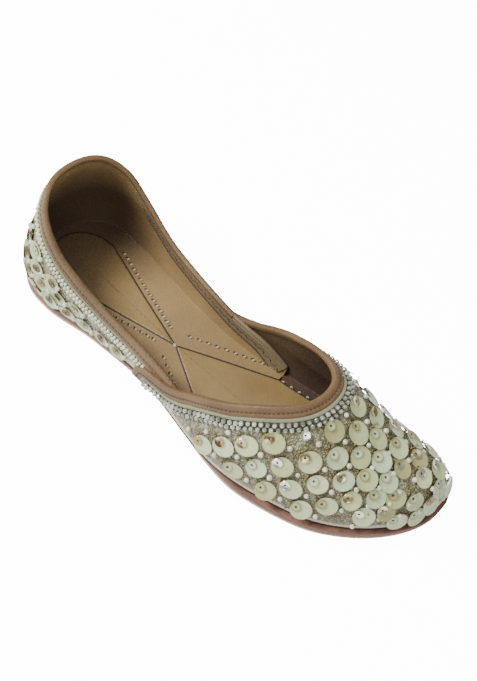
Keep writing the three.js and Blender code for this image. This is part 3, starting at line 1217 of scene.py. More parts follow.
def bound_edge(
    line: Line, inner: float, outer: float, widths: tuple[float, float], ply: float
) -> Shape:
    """A strip folded over a wall's edge: a closed profile carried along the line.

    Args:
        line: the edge.
        inner: offset of the wall's inner skin.
        outer: offset of the wall's outer skin.
        widths: how far it reaches down outside and inside.
        ply: its thickness.

    Returns:
        The strip, with a shallow channel along the middle of its outside.
    """
    wide, under = widths
    wall = outer - inner
    outside = np.array(
        [[1.0, -0.1], [1.0, 0.6], [0.96, 0.95], [0.8, 1.0], [0.57, 1.0], [0.5, 0.7], [0.43, 1.0],
         [0.2, 1.05], [0.06, 1.0]]
    ) * [wide, ply]
    turn = np.linspace(0.15, 0.85, 6) * np.pi
    fold = np.stack([-0.9 * np.sin(turn), np.cos(turn) * (wall / 2 + ply) - wall / 2], -1)
    inside = np.array([[0.08, -1.0], [0.4, -1.0], [0.9, -0.95], [1.0, -0.7], [1.0, 0.2]]) * [under, ply]
    p_out, n_out = line.laid(outer, outside[:, 0])
    p_in, n_in = line.laid(inner, inside[:, 0])
    start, out, normal = line.frame(outer)
    over = (
        start[:, None] + out[:, None] * fold[None, :, :1] + normal[:, None] * fold[None, :, 1:]
    )
    grid = np.concatenate(
        [p_out + n_out * outside[None, :, 1:], over, p_in + n_in * inside[None, :, 1:]], axis=1
    )
    return tube(grid, capped=True)


def flat_band(line: Line, offset: float, away: tuple[float, float], lift: tuple[float, float]) -> Shape:
    """A thin strip lying on a skin between two distances from a line, between two heights.

    Args:
        line: the line.
        offset: the skin.
        away: the two distances.
        lift: the two heights.

    Returns:
        The strip.
    """
    near, far = away
    low, high = lift
    spread = np.linspace(near, far, 6)
    points, normal = line.laid(offset, np.concatenate([spread, spread[::-1]]))
    heights = np.concatenate([[0.7 * high], np.full(4, high), [0.7 * high], np.full(6, low)])
    return tube(points + normal * heights[None, :, None], capped=True)


def thinned(points: Array, wanted: Array, least: float) -> Array:
    """Which of the wanted points stay, each at least a distance from those kept before it.

    Args:
        points: all points.
        wanted: which of them may stay.
        least: the distance.

    Returns:
        Whether each stays.
    """
    kept = np.zeros(len(points), bool)
    for i in np.flatnonzero(wanted):
        kept[i] = not kept.any() or np.linalg.norm(points[kept] - points[i], axis=1).min() > least
    return kept


def walls(
    inner: Array, outer: Array, values: dict[str, tuple[Array, Array]] | None = None
) -> Shape:
    """A wall between two grids (along, down, 3) of the same size, closed round its edges.

    Args:
        inner: its inner face.
        outer: its outer face.
        values: numbers kept on the inner and outer face.

    Returns:
        A closed shape.
    """
    kept = {
        name: np.concatenate([a, b[:, ::-1]], 1) for name, (a, b) in (values or {}).items()
    }
    return tube(np.concatenate([outer, inner[:, ::-1]], 1), capped=True, values=kept, folded=True)


# ---------------------------------------------------------------------------- small parts


@dataclass(frozen=True)
class Sizes:
    """Sizes of the sequins, beads and stitches."""

    cup: float = 5.5
    disc: float = 2.6
    hole: float = 0.6
    pearl: float = 1.38
    glass: float = 1.18
    glass_length: float = 2.15
    seed: float = 1.05


SIZES = Sizes()


def cup_shape() -> Shape:
    """A dished disc: a thin lathe profile whose rim stands over its middle.

    Returns:
        A closed shape.
    """
    r, sides = SIZES.cup, 16
    rim = (0.0, 0.8, 1.0, 0.1, 0.0)
    shape = lathe(
        [(0.35 * r, -0.35), (0.98 * r, 0.28), (r, 0.42), (0.93 * r, 0.36), (0.45 * r, -0.1)], sides
    )
    # where the painted edge shade falls
    shape.values["rim"] = np.concatenate([np.repeat(rim, sides), [0.0, 0.0]])
    return shape


def disc_shape() -> Shape:
    """A small sequin with a hole: a cone-sided ring.

    Returns:
        A closed ring.
    """
    r, hole, sides = SIZES.disc, SIZES.hole, 12
    rim = (0.8, 0.0, 0.8, 1.0, 0.0, 0.5)
    shape = hoop(
        [(hole, 0.0), (0.62 * r, 0.06), (r, 0.38), (0.97 * r, 0.46), (0.6 * r, 0.2), (hole, 0.14)], sides
    )
    # where the painted edge shade falls
    shape.values["rim"] = np.tile(rim, sides)
    return shape


def ball_shape(radius: float, squash: float, sides: int) -> Shape:
    """A ball, flattened along Z by squash.

    Args:
        radius: its radius.
        squash: its height as a share of its width.
        sides: points round it.

    Returns:
        A closed shape.
    """
    angle = np.linspace(-0.5, 0.5, 7)[1:-1] * np.pi
    profile = [(radius * math.cos(a), radius * squash * math.sin(a)) for a in angle]
    return lathe(profile, sides)


def bead_shape(radius: float, length: float) -> Shape:
    """A short glass bead lying along X: a rounded drum.

    Args:
        radius: its radius.
        length: its length.

    Returns:
        A closed shape.
    """
    half = length / 2
    turn = ((0.35, 1.0), (0.78, 0.82), (1.0, 0.3))
    profile = [(r * radius, -z * half) for r, z in turn] + [(r * radius, z * half) for r, z in turn[::-1]]
    drum = lathe(profile, 8)
    drum.points = drum.points[:, [2, 0, 1]]
    return drum


def stitch_shape(length: float, thick: float) -> Shape:
    """One stitch lying along X, its ends dipping: a ring carried along an arch.

    Args:
        length: its length.
        thick: the thread's thickness.

    Returns:
        A closed shape.
    """
    t = np.linspace(-1, 1, 5)
    ring = np.linspace(0, 2 * np.pi, 6, endpoint=False)
    girth = thick / 2 * np.sqrt(1.02 - 0.55 * t**4)
    x = np.repeat((t * length / 2)[:, None], 6, 1)
    y = girth[:, None] * np.cos(ring)
    z = girth[:, None] * np.sin(ring) + (thick * 0.45 * (1 - t**2) - thick * 0.3)[:, None]
    return tube(np.stack([x, y, z], -1), capped=True)


@dataclass(frozen=True)
class Seam:
    """A row of stitches beside a line; a slant swings every other one each way."""

    length: float
    thick: float
    lift: float
    pitch: float
    slant: float = 0.0

    def sew(
        self, name: str, line: Line, offset: float, away: float, finish: bpy.types.Material, slot: str
    ) -> None:
        """Makes the row as a piece.

        Args:
            name: the piece's name.
            line: the line it follows.
            offset: the skin it lies on.
            away: its distance from the line.
            finish: the thread's finish.
            slot: not used.
        """
        places, axes = line.row(offset, away, self.lift, self.pitch)
        if self.slant:
            swing = np.where(np.arange(len(places)) % 2 == 0, self.slant, -self.slant)
            axes = axes_from(axes[:, 0] + axes[:, 1] * swing[:, None], axes[:, 2])
        make_piece(name, many(stitch_shape(self.length, self.thick), places, axes, {}), finish)


# ---------------------------------------------------------------------------- sole and sock pads


@dataclass
class Sole:
    """Two leather plies of one outline, their cut edges softly rounded."""

    outsole: float = 1.8
    midsole: float = 3.4
    gap: float = 0.3
    around: int = 480
    quarter_out: float = 1.8
    vamp_out: float = 3.9
    # sizes of the painted shade strip round the foot
    seam: float = 0.8
    shade_strip_low: float = -0.3
    shade_strip_reach: tuple[float, float] = (-0.45, 1.6)
    shade_strip_crest: float = 0.2
    wing_ends: tuple[float, float] = (-33.0, -30.0)

    def ply(self, low: float, high: float, soft: float) -> Shape:
        """A ply: rings drawn in from the edge, and towards the middle line on both faces.

        Args:
            low: underside, over the walking surface.
            high: top side.
            soft: radius of the rounded edges.

        Returns:
            A closed shape.
        """
        v = np.linspace(-np.pi, np.pi, self.around, endpoint=False)
        turn = np.linspace(0, np.pi / 2, 5)
        side = [(soft * (1 - math.sin(a)), low + soft * (1 - math.cos(a))) for a in turn]
        side += [(inset, low + high - z) for inset, z in reversed(side)]
        rings = []
        for share, (inset, z) in (
            [(1.0, side[0]), (0.6, side[0]), (0.2, side[0])]
            + [(0.0, place) for place in side]
            + [(0.2, side[-1]), (0.6, side[-1]), (1.0, side[-1])]
        ):
            edge = LAST.inset(v, np.full(v.shape, inset))
            mate = LAST.inset(-v, np.full(v.shape, inset))
            plan = edge + (mate - edge) * share / 2
            height = LAST.rise(plan[:, 0]) + z
            rings.append(np.concatenate([plan, height[:, None]], 1))
        shape = tube(np.stack(rings, 1), capped=False)
        first, final = 0, len(rings) - 1
        across = np.isin(shape.quads % len(rings), [first, final]).sum(1) == 4
        shape.quads = shape.quads[~across]
        return welded(shape)

    def build(self) -> None:
        """Makes both plies, and the dark strip of painted shade where the upper meets them."""
        base = self.outsole + self.gap
        lower = self.ply(0.0, self.outsole, 0.5)
        upper = self.ply(base - 0.25, base + self.midsole, 0.7)
        make_piece("outsole_ply", lower, OUTSOLE_PLY.make(), stands_for=("outsole",))
        make_piece("midsole_ply", upper, MIDSOLE_PLY.make(), stands_for=("midsole",))
        # painted shade: a dark strip in the gap where the upper meets the sole
        make_piece("foot_shadow_strip", self.foot_shadow_strip(), SLIT.make())

    def foot_shadow_strip(self) -> Shape:
        """Painted shade in the gap where the upper meets the sole: a low dark strip round the foot.

        Returns:
            A closed ring.
        """
        v = np.linspace(-np.pi, np.pi, self.around, endpoint=False)
        x = LAST.edge(v)[:, 0]
        out = self.quarter_out + (self.vamp_out - self.quarter_out) * smooth(x, *self.wing_ends)
        step = LAST.margin(x) - out
        outer, inner = self.shade_strip_reach
        corners = (
            (inner, self.shade_strip_low), (outer, self.shade_strip_low), (outer, self.seam),
            (self.shade_strip_crest, self.seam + self.shade_strip_crest), (inner, self.seam),
        )
        rings = [LAST.raised(LAST.inset(v, step + inset), z) for inset, z in corners]
        return tube(np.stack(rings, 1), capped=False)


@dataclass
class SockPads:
    """The long heel pad and the fore pad, which meet in two points at the thread knot."""

    knot_x: float = -29.0
    tip: float = 1.0
    back: float = -117.0
    shoulder: float = -96.0
    half: float = 18.0
    power: float = 2.1
    fore_shoulder: float = 20.0
    fore_inset: float = 3.6
    ply: float = 2.1
    soft: float = 0.7
    groove_width: float = 0.75
    turned_in: float = 1.8
    # painted shade: x range over which the heel pad darkens towards its back
    heel_shade: tuple[float, float] = (66.0, 108.0)

    def heel_plan(self) -> Array:
        """Outline of the heel pad: a superellipse back and straight sides to the knot.

        Returns:
            Places (n, 2), closed.
        """
        a = np.linspace(np.pi / 2, 3 * np.pi / 2, 90)
        power = 2 / self.power
        x = self.shoulder - (self.shoulder - self.back) * np.abs(np.cos(a)) ** power
        y = self.half * np.sign(np.sin(a)) * np.abs(np.sin(a)) ** power
        point = np.array([[self.knot_x - self.tip, 0.0]])
        flat = np.concatenate([point, np.stack([x, y], 1), point])
        return flat + [0, LAST.heel_line]

    def fore_plan(self) -> Array:
        """Outline of the fore pad: the last's own foot drawn in, and a V back to the knot.

        Returns:
            Places (n, 2), closed.
        """
        v = np.concatenate([np.linspace(-1.0, -np.pi, 300), np.linspace(np.pi, 1.0, 300)[1:]])
        inset = LAST.margin(LAST.edge(v)[:, 0]) + self.fore_inset
        foot = LAST.inset(v, inset)
        foot = foot[foot[:, 0] > self.fore_shoulder]
        point = np.array([[self.knot_x + self.tip, LAST.swing(np.array(self.knot_x))]])
        return np.concatenate([point, foot, point])

    def pad(self, plan: Array, middle: tuple[float, float]) -> Shape:
        """A pad: its outline drawn in over a rounded edge, then scaled in to its middle.

        Args:
            plan: the closed outline.
            middle: a point that all of the outline can be seen from, y from the centre line.

        Returns:
            A closed shape.
        """
        loop = read(plan, spaced(plan, count=361))[:-1]
        ahead, behind = np.roll(loop, -1, 0), np.roll(loop, 1, 0)
        along = unit(ahead - behind)
        out = np.stack([along[:, 1], -along[:, 0]], 1)
        centre = np.array([middle[0], LAST.swing(np.array(middle[0])) + middle[1]])
        out *= np.sign(np.sum(out * (loop - centre)))
        turn = np.linspace(0, np.pi / 2, 5)
        edge = [(self.soft * (1 - math.cos(a)), self.ply - self.soft * (1 - math.sin(a))) for a in turn]
        rings = [(0.0, 0.0)] + edge
        loops = []
        for inset, z in rings:
            xy = loop - out * inset
            loops.append(LAST.raised(xy, z))
        inner = loop - out * self.soft
        for share in np.linspace(0.03, 0.97, 20):
            xy = inner + (centre - inner) * share
            loops.append(LAST.raised(xy, self.ply))
        return stack(np.stack(loops))

    def build(self) -> None:
        """Makes both pads, the knot between them and the rows of thread dots beside them."""
        leather = SOCK.make()
        heel = self.pad(self.heel_plan(), (-90.0, 0.0))
        fore = self.pad(self.fore_plan(), (50.0, 0.0))
        for part in (heel, fore):
            # painted shade: the heel pad darkens towards its back, where the heel wall shades it
            part.values["shade"] = 0.75 * smooth(-part.points[:, 0], *self.heel_shade)
        make_piece("heel_sock_pad", heel, leather, stands_for=("heel_pad",))
        make_piece("fore_sock_pad", fore, leather, stands_for=("fore_pad",))
        # painted shade round the pads' edges
        grooves = SLIT.make()
        make_piece("heel_pad_groove", self.groove(self.heel_plan()), grooves)
        make_piece("fore_pad_groove", self.groove(self.fore_plan()), grooves)
        self.knot()
        self.dots()

    def groove(self, plan: Array) -> Shape:
        """Painted shade in the groove round a pad: a low dark strip that runs out from under its edge.

        Args:
            plan: the pad's closed outline.

        Returns:
            A closed ring.
        """
        loop = read(plan, spaced(plan, count=361))[:-1]
        along = unit(np.roll(loop, -1, 0) - np.roll(loop, 1, 0))
        out = np.stack([along[:, 1], -along[:, 0]], 1)
        out *= np.sign(np.sum(out * (loop - loop.mean(0))))
        floor = LAST.base + LAST.rise(loop[:, 0])
        corners = ((-0.5, 0.2), (self.groove_width, 0.2), (self.groove_width, 1.86), (-0.5, 1.86))
        rings = [
            np.concatenate([loop + out * step, (floor + z)[:, None]], 1) for step, z in corners
        ]
        return tube(np.stack(rings, 1), capped=False)

    def knot(self) -> None:
        """A cream thread knot: crossed short stitches over the pads' points."""
        turn = np.array([0.2, 1.3, 2.3, 2.9])
        places = np.tile([self.knot_x, LAST.heel_line, LAST.base + self.ply + 0.55], (4, 1))
        places[:, 2] += np.arange(4) * 0.16
        along = np.stack([np.cos(turn), np.sin(turn), 0 * turn], 1)
        axes = axes_from(along, np.tile([0.0, 0.0, 1.0], (4, 1)))
        shape = many(stitch_shape(2.7, 1.1), places, axes, {})
        make_piece("thread_knot", shape, THREAD.make())

    def side_rows(self) -> Array:
        """Places of the thread dots, in rows beside the two pads' slanting sides.

        Returns:
            Places (n, 2).
        """
        rows = []
        knot = np.array([self.knot_x, LAST.heel_line])
        for side in (-1.0, 1.0):
            heel = np.array([self.shoulder, LAST.heel_line + side * self.half])
            fore_y = LAST.swing(np.array(self.fore_shoulder)) + side * 25.0
            fore = np.array([self.fore_shoulder, fore_y])
            for end, step, pitch, first, last in (
                (heel, 3.5, 3.7, 11.0, 66.0),
                (fore, 8.0, 5.0, 6.0, 52.0),
            ):
                along = unit(end - knot)
                out = np.array([-along[1], along[0]])
                out = out * np.sign(out[1]) * side
                at = np.arange(first, last, pitch)
                rows.append(knot + along * at[:, None] + out * step)
        return np.concatenate(rows)

    def dots(self) -> None:
        """Thread dots on the turned-in leather, each beside a dark awl slit."""
        plan = self.side_rows()
        count = len(plan)
        places = LAST.raised(plan, self.turned_in)
        up = np.tile([0.0, 0.0, 1.0], (count, 1))
        away = np.sign(plan[:, 1:] - LAST.heel_line)
        slant = np.concatenate([np.full((count, 1), 0.8), away, np.zeros((count, 1))], 1)
        axes = axes_from(slant, up)
        dots = many(stitch_shape(1.9, 1.5), places + [0.55, 0, 0.15], axes, {})
        slits = many(stitch_shape(2.3, 1.0), places + [-0.75, 0, -0.12], axes, {})
        make_piece("thread_dots", dots, THREAD.make())
        make_piece("awl_slits", slits, SLIT.make())


# ---------------------------------------------------------------------------- upper


UNDERSIDE = 0.15  # height over the foot of the turned-in lining's lower face


@dataclass
class Lattice:
    """A field of cup sequins, each with a small disc on it, and of pearls and zari knots between."""

    name: str
    seed: int
    eye: float
    lift: float = 0.95
    pearl_lift: float = 1.2
    tilt: float = 5.0
    unevenness: float = 4.0
    mint_share: float = 0.45
    metal: Varied = METAL
    bunch: int = 7

    def lay(self, cups: Array, cup_axes: Array, pearls: Array, pearl_axes: Array) -> None:
        """Sets down the sequins and beads.

        Args:
            cups: places of the cup sequins on the ground.
            cup_axes: their axes, Z the normal; the disc sits the eye's distance against X.
            pearls: places of the pearls.
            pearl_axes: their axes.
        """
        dice = np.random.default_rng(self.seed)
        count = len(cups)
        spread = dice.normal(0, math.radians(self.unevenness), (2, count))
        axes = tilted(cup_axes, spread[0], spread[1] + math.radians(self.tilt))
        axes = axes * dice.normal(1.0, 0.035, count)[:, None, None]
        places = cups + axes[:, 2] * self.lift + dice.normal(0, 0.2, (count, 3))
        tint = {"tint": dice.random(count)}
        sequin = CUPS.make()
        make_piece(
            f"{self.name}_cups", many(cup_shape(), places, axes, tint), sequin, Edges.CRISP
        )
        wobble = dice.normal(0, 0.25, (count, 2))
        centre = places - axes[:, 0] * (self.eye + wobble[:, :1]) + axes[:, 1] * wobble[:, 1:]
        turned = tilted(axes, *dice.normal(0, math.radians(6.0), (2, count)))
        self.discs(dice, centre + axes[:, 2] * 0.2, turned, sequin)
        number = len(pearls)
        size = dice.normal(1.0, 0.06, number)[:, None, None]
        sits = pearls + pearl_axes[:, 2] * self.pearl_lift + dice.normal(0, 0.3, (number, 3))
        tint = {"tint": dice.random(number)}
        balls = many(ball_shape(SIZES.pearl, 0.94, 10), sits, pearl_axes * size, tint)
        make_piece(f"{self.name}_pearls", balls, PEARLS.make())
        self.knots(dice, cups, cup_axes)

    def discs(
        self, dice: np.random.Generator, places: Array, axes: Array, sequin: bpy.types.Material
    ) -> None:
        """The small discs, some of the cups' own colour and the rest of metal, with dark holes.

        Args:
            dice: the random numbers.
            places: the discs' middles.
            axes: their axes.
            sequin: the cups' finish.
        """
        count = len(places)
        tone = dice.random(count)
        mint = dice.random(count) < self.mint_share
        for kind, chosen, finish, slot in (
            ("mint", mint, sequin, "cup_sequin"),
            ("metal", ~mint, self.metal.make(), "metal_sequin"),
        ):
            shape = many(disc_shape(), places[chosen], axes[chosen], {"tint": tone[chosen]})
            make_piece(f"{self.name}_{kind}_discs", shape, finish, Edges.CRISP)
        hole = ball_shape(SIZES.hole + 0.12, 0.4, 8)
        holes = many(hole, places + axes[:, 2] * 0.03, axes, {"tint": tone})
        make_piece(f"{self.name}_holes", holes, HOLES.make())

    def knots(self, dice: np.random.Generator, cups: Array, axes: Array) -> None:
        """Zari knots beside each disc: little squashed balls in a loose bunch.

        Args:
            dice: the random numbers.
            cups: places of the cups.
            axes: their axes.
        """
        cups, axes = np.repeat(cups, self.bunch, 0), np.repeat(axes, self.bunch, 0)
        shift = np.stack(
            [-(self.eye + 2.9) + dice.normal(0, 0.6, len(cups)), dice.normal(0, 1.9, len(cups))], 1
        )
        places = cups + axes[:, 0] * shift[:, :1] + axes[:, 1] * shift[:, 1:] + axes[:, 2] * 0.75
        stretch = dice.uniform(0.5, 1.05, (len(cups), 3, 1))
        shape = many(ball_shape(0.75, 0.8, 7), places, axes * stretch, {"tint": dice.random(len(cups))})
        make_piece(f"{self.name}_knots", shape, ZARI.make())


@dataclass
class Quarter:
    """The back piece: one wall round the heel, its wings tucked inside the vamp's."""

    inner: float = 0.0
    split: float = 0.9
    outer: float = 1.8
    front: float = 19.6
    vamp_back: float = -31.4
    floor: float = 1.8
    binding: float = 5.2
    facing_back: float = -95.0
    collar_front: tuple[float, float] = (-17.0, -4.0)
    counter: tuple[float, float, float] = (0.7, -92.0, -80.0)
    troughs: tuple[tuple[float, ...], ...] = (
        (1.0, -78.0, 34.0, -66.0, 8.0, 3.2, 0.4),
        (1.0, -58.0, 21.0, -40.0, 9.0, 3.6, 0.35),
        (1.0, -12.0, 15.0, 2.0, 7.0, 2.4, 0.3),
        (-1.0, -84.0, 30.0, -62.0, 9.0, 3.4, 0.4),
        (-1.0, -40.0, 20.0, -22.0, 8.0, 2.8, 0.3),
    )
    collar_seam: Seam = Seam(1.7, 0.55, lift=0.62, pitch=2.2)
    facing_reach: tuple[float, float] = (0.6, 9.4)
    fold: tuple[float, float] = (1.0, 1.0)
    fold_ply: float = 0.2
    slits: Seam = Seam(2.5, 0.55, lift=-0.48, pitch=3.0, slant=0.7)
    slits_away: float = 5.0
    facing_seam: Seam = Seam(1.7, 0.5, lift=-0.5, pitch=2.3)
    seam_away: float = 9.0
    levels: int = 7
    lowest_row: float = 5.4
    half_pitch: float = 5.6
    row_pitch: float = 7.8
    cup_clear: float = 8.0
    pearl_clear: float = 6.6
    vamp_clear: float = 4.5
    topline: Column = Column(
        (-130, -118, -105, -85, -60, -24, 0, 20), (60, 59.5, 51.5, 37, 26, 20.5, 17, 7)
    )

    def rim(self, front: float | tuple[float, float], count: int) -> tuple[Array, Array]:
        """Loop and lift angles of the topline, from the far front round the heel to the near.

        Args:
            front: x of its two ends, or of the far one and the near one.
            count: how many places.

        Returns:
            The loop angles and the lift angles.
        """
        x = np.broadcast_to(np.array(front, float), 2)
        side = np.array([1.0, -1.0])
        ends, _ = LAST.place(side, x, self.topline(x) - LAST.rise(x), self.outer)
        v = np.linspace(ends[0], ends[1], count)
        phi = np.full(count, 0.5)
        for _ in range(14):
            x = LAST.at(v, phi, self.outer)[:, 0]
            phi = LAST.lift_for_height(x, self.topline(x) - LAST.rise(x), self.outer)
        return v, phi

    def line(self, front: float | tuple[float, float], count: int = 420) -> Line:
        """The topline as a line on the form, evenly spaced.

        Args:
            front: x of its two ends, or of the far one and the near one.
            count: how many places.

        Returns:
            The line.
        """
        v, phi = self.rim(front, count)
        chart = LAST.flat(v, phi)
        return Line(read(chart, spaced(LAST.at(v, phi, self.outer), count=count)))

    def build(self) -> None:
        """Makes the wall, its lining, and what is sewn to its edge."""
        v, phi = self.rim(self.front, 420)
        t = np.linspace(0, 1, 34)
        lift = phi[:, None] * (1 - t)
        v2 = np.broadcast_to(v[:, None], lift.shape)
        split = LAST.at(v2, lift, self.split)
        outer = LAST.at(v2, lift, self.outer)
        above = LAST.over_foot(outer)
        ground = walls(split, outer, {"above": (above, above)})
        make_piece("quarter_ground", ground, HEEL_GROUND.make(), stands_for=("quarter",))
        self.lining(v, v2, lift)
        self.edge()
        self.decorate()

    def lining(self, v: Array, v2: Array, lift: Array) -> None:
        """The lining, which turns in at the foot and lies on the sole.

        Args:
            v: loop angles of the columns.
            v2: the same, for every row.
            lift: lift angles of the wall's rows.
        """
        inside = LAST.at(v2, lift, self.inner)
        inside = inside + LAST.normal(v2, lift, self.inner) * self.dents(v2, inside)[..., None]
        outside = LAST.at(v2, lift, self.split)
        lowest = LAST.base + LAST.rise(inside[..., 0]) + self.floor
        inside[..., 2] = np.maximum(inside[..., 2], lowest)
        share = np.linspace(0.985, 0.03, 12)
        spine, foot = LAST.spine(v)[:, None], LAST.foot(v, self.inner)[:, None]
        plan = spine + (foot - spine) * share[None, :, None]
        top, under = LAST.raised(plan, self.floor), LAST.raised(plan, UNDERSIDE)
        grid_in = np.concatenate([inside, top], 1)
        grid_out = np.concatenate([outside, under], 1)
        x, z = grid_in[..., 0], grid_in[..., 2]
        # painted shade: the lining darkens further down inside the heel cup and towards its back
        depth = smooth(self.topline(x) + LAST.base - z, -4, 30) * smooth(-x, 62, 108) * 0.85
        shape = walls(grid_in, grid_out, {"shade": (depth, depth)})
        make_piece("quarter_lining", shape, LINING.make(), Edges.CRISP)

    def dents(self, v: Array, points: Array) -> Array:
        """How far the lining lies outwards: soft troughs, less the step of the heel counter.

        Args:
            v: loop angles, whose sign tells the side.
            points: places on the lining.

        Returns:
            Distances along the outward normal; a trough is its depth times a bell curve of the
            distance from its line (x, z to x, z).
        """
        x, z = points[..., 0], points[..., 2] - LAST.base
        step, back, front = self.counter
        total = -step * (1 - smooth(x, back, front)) * smooth(self.topline(x) - z, 0.5, 8)
        for side, x0, z0, x1, z1, width, depth in self.troughs:
            dx, dz = x1 - x0, z1 - z0
            along = np.clip(((x - x0) * dx + (z - z0) * dz) / (dx * dx + dz * dz), 0, 1)
            away = np.hypot(x - x0 - along * dx, z - z0 - along * dz)
            total = total + np.where(v * side > 0, depth * np.exp(-((away / width) ** 2)), 0.0)
        return total

    def edge(self) -> None:
        """Collar binding and its stitches, the pale strip, two rows of beads and the facing."""
        line = self.line(self.collar_front)
        strip = bound_edge(line, self.inner, self.outer, (self.binding, 0.9), 0.7)
        make_piece(
            "collar_edge_binding", strip, BINDING.make(), stands_for=("collar_binding",)
        )
        thread = BROWN_THREAD.make()
        self.collar_seam.sew("collar_stitches", line, self.outer, 0.5 * self.binding, thread, "thread")
        pale = flat_band(line, self.outer, (self.binding - 0.2, self.binding + 1.5), (-0.1, 0.5))
        make_piece("collar_pale_strip", pale, PALE_STRIP.make())
        dice = np.random.default_rng(5)
        beads = []
        for away, pitch in ((self.binding + 2.4, 2.25), (self.binding + 4.6, 2.3)):
            places, axes = line.row(self.outer, away, 0.85, pitch)
            size = dice.normal(1.0, 0.06, len(places))[:, None, None]
            beads.append((places, axes * size))
        places = np.concatenate([b[0] for b in beads])
        shape = many(
            ball_shape(SIZES.seed, 0.9, 8), places, np.concatenate([b[1] for b in beads]),
            {"tint": dice.random(len(places))},
        )
        make_piece("collar_beads", shape, PEARLS.make())
        self.facing()

    def facing(self) -> None:
        """The facing strip inside each wing, with its slanting awl slits and lower seam."""
        whole = self.line(self.front - 0.6, 520)
        x = LAST.at(*LAST.from_flat(whole.chart), 0.0)[:, 0]
        finish, slit, thread = FACING.make(), SLIT.make(), BROWN_THREAD.make()
        for name, part in (("far", slice(0, 260)), ("near", slice(260, 520))):
            kept = x[part] > self.facing_back
            line = Line(whole.chart[part][kept])
            band = flat_band(line, self.inner, self.facing_reach, (0.1, -0.5))
            make_piece(f"{name}_facing", band, finish)
            fold = bound_edge(line, self.inner, self.outer, self.fold, self.fold_ply)
            make_piece(f"{name}_facing_fold", fold, finish)
            slits, seam = f"{name}_facing_slits", f"{name}_facing_seam"
            self.slits.sew(slits, line, self.inner, self.slits_away, slit, "lining_leather")
            self.facing_seam.sew(seam, line, self.inner, self.seam_away, thread, "thread")

    def decorate(self) -> None:
        """Cups and pearls in level rows between the beads and the sole."""
        cups, cup_axes, pearls, pearl_axes = [], [], [], []
        v = np.linspace(2.0, -2.0, 900)
        rim_v, rim_phi = self.rim(self.vamp_back, 420)
        top = LAST.at(rim_v, rim_phi, self.outer)
        for level in range(self.levels):
            height = self.lowest_row + self.row_pitch * level
            phi = np.full(v.shape, 0.2)
            for _ in range(10):
                x = LAST.at(v, phi, self.outer)[:, 0]
                phi = LAST.lift_for_height(x, np.full(v.shape, height), self.outer)
            points = LAST.at(v, phi, self.outer)
            normal = LAST.normal(v, phi, self.outer)
            heel = int(np.argmin(np.abs(v)))
            length = np.concatenate([[0], np.cumsum(np.linalg.norm(np.diff(points, axis=0), axis=1))])
            length -= length[heel]
            pitch = self.half_pitch
            steps = np.arange(math.ceil(length[0] / pitch), int(length[-1] / pitch) + 1)
            index = np.interp(steps * pitch, length, np.arange(len(v)))
            here, up = read(points, index), unit(read(normal, index))
            away = np.linalg.norm(here[:, None] - top[None], axis=-1).min(1)
            clear = (here[:, 0] < self.vamp_back - self.vamp_clear) & (
                here[:, 2] < LAST.base + self.topline(here[:, 0])
            )
            is_cup = (steps + level) % 2 == 0
            rising = np.tile([0.0, 0.0, -1.0], (len(here), 1))
            axes = axes_from(rising, up)
            take = clear & is_cup & (away > self.binding + self.cup_clear)
            cups.append(here[take])
            cup_axes.append(axes[take])
            take = clear & ~is_cup & (away > self.binding + self.pearl_clear)
            pearls.append(here[take])
            pearl_axes.append(axes[take])
        join = np.concatenate
        sequins = Lattice(
            "quarter", seed=11, eye=0.4, lift=0.8, tilt=2.0, unevenness=3.0, mint_share=0.12,
            metal=BRONZE, bunch=2,
        )
        sequins.lay(join(cups), join(cup_axes), join(pearls), join(pearl_axes))


WING_STATIONS = (-60, -24, -14, -4, 6, 14, 22, 30)


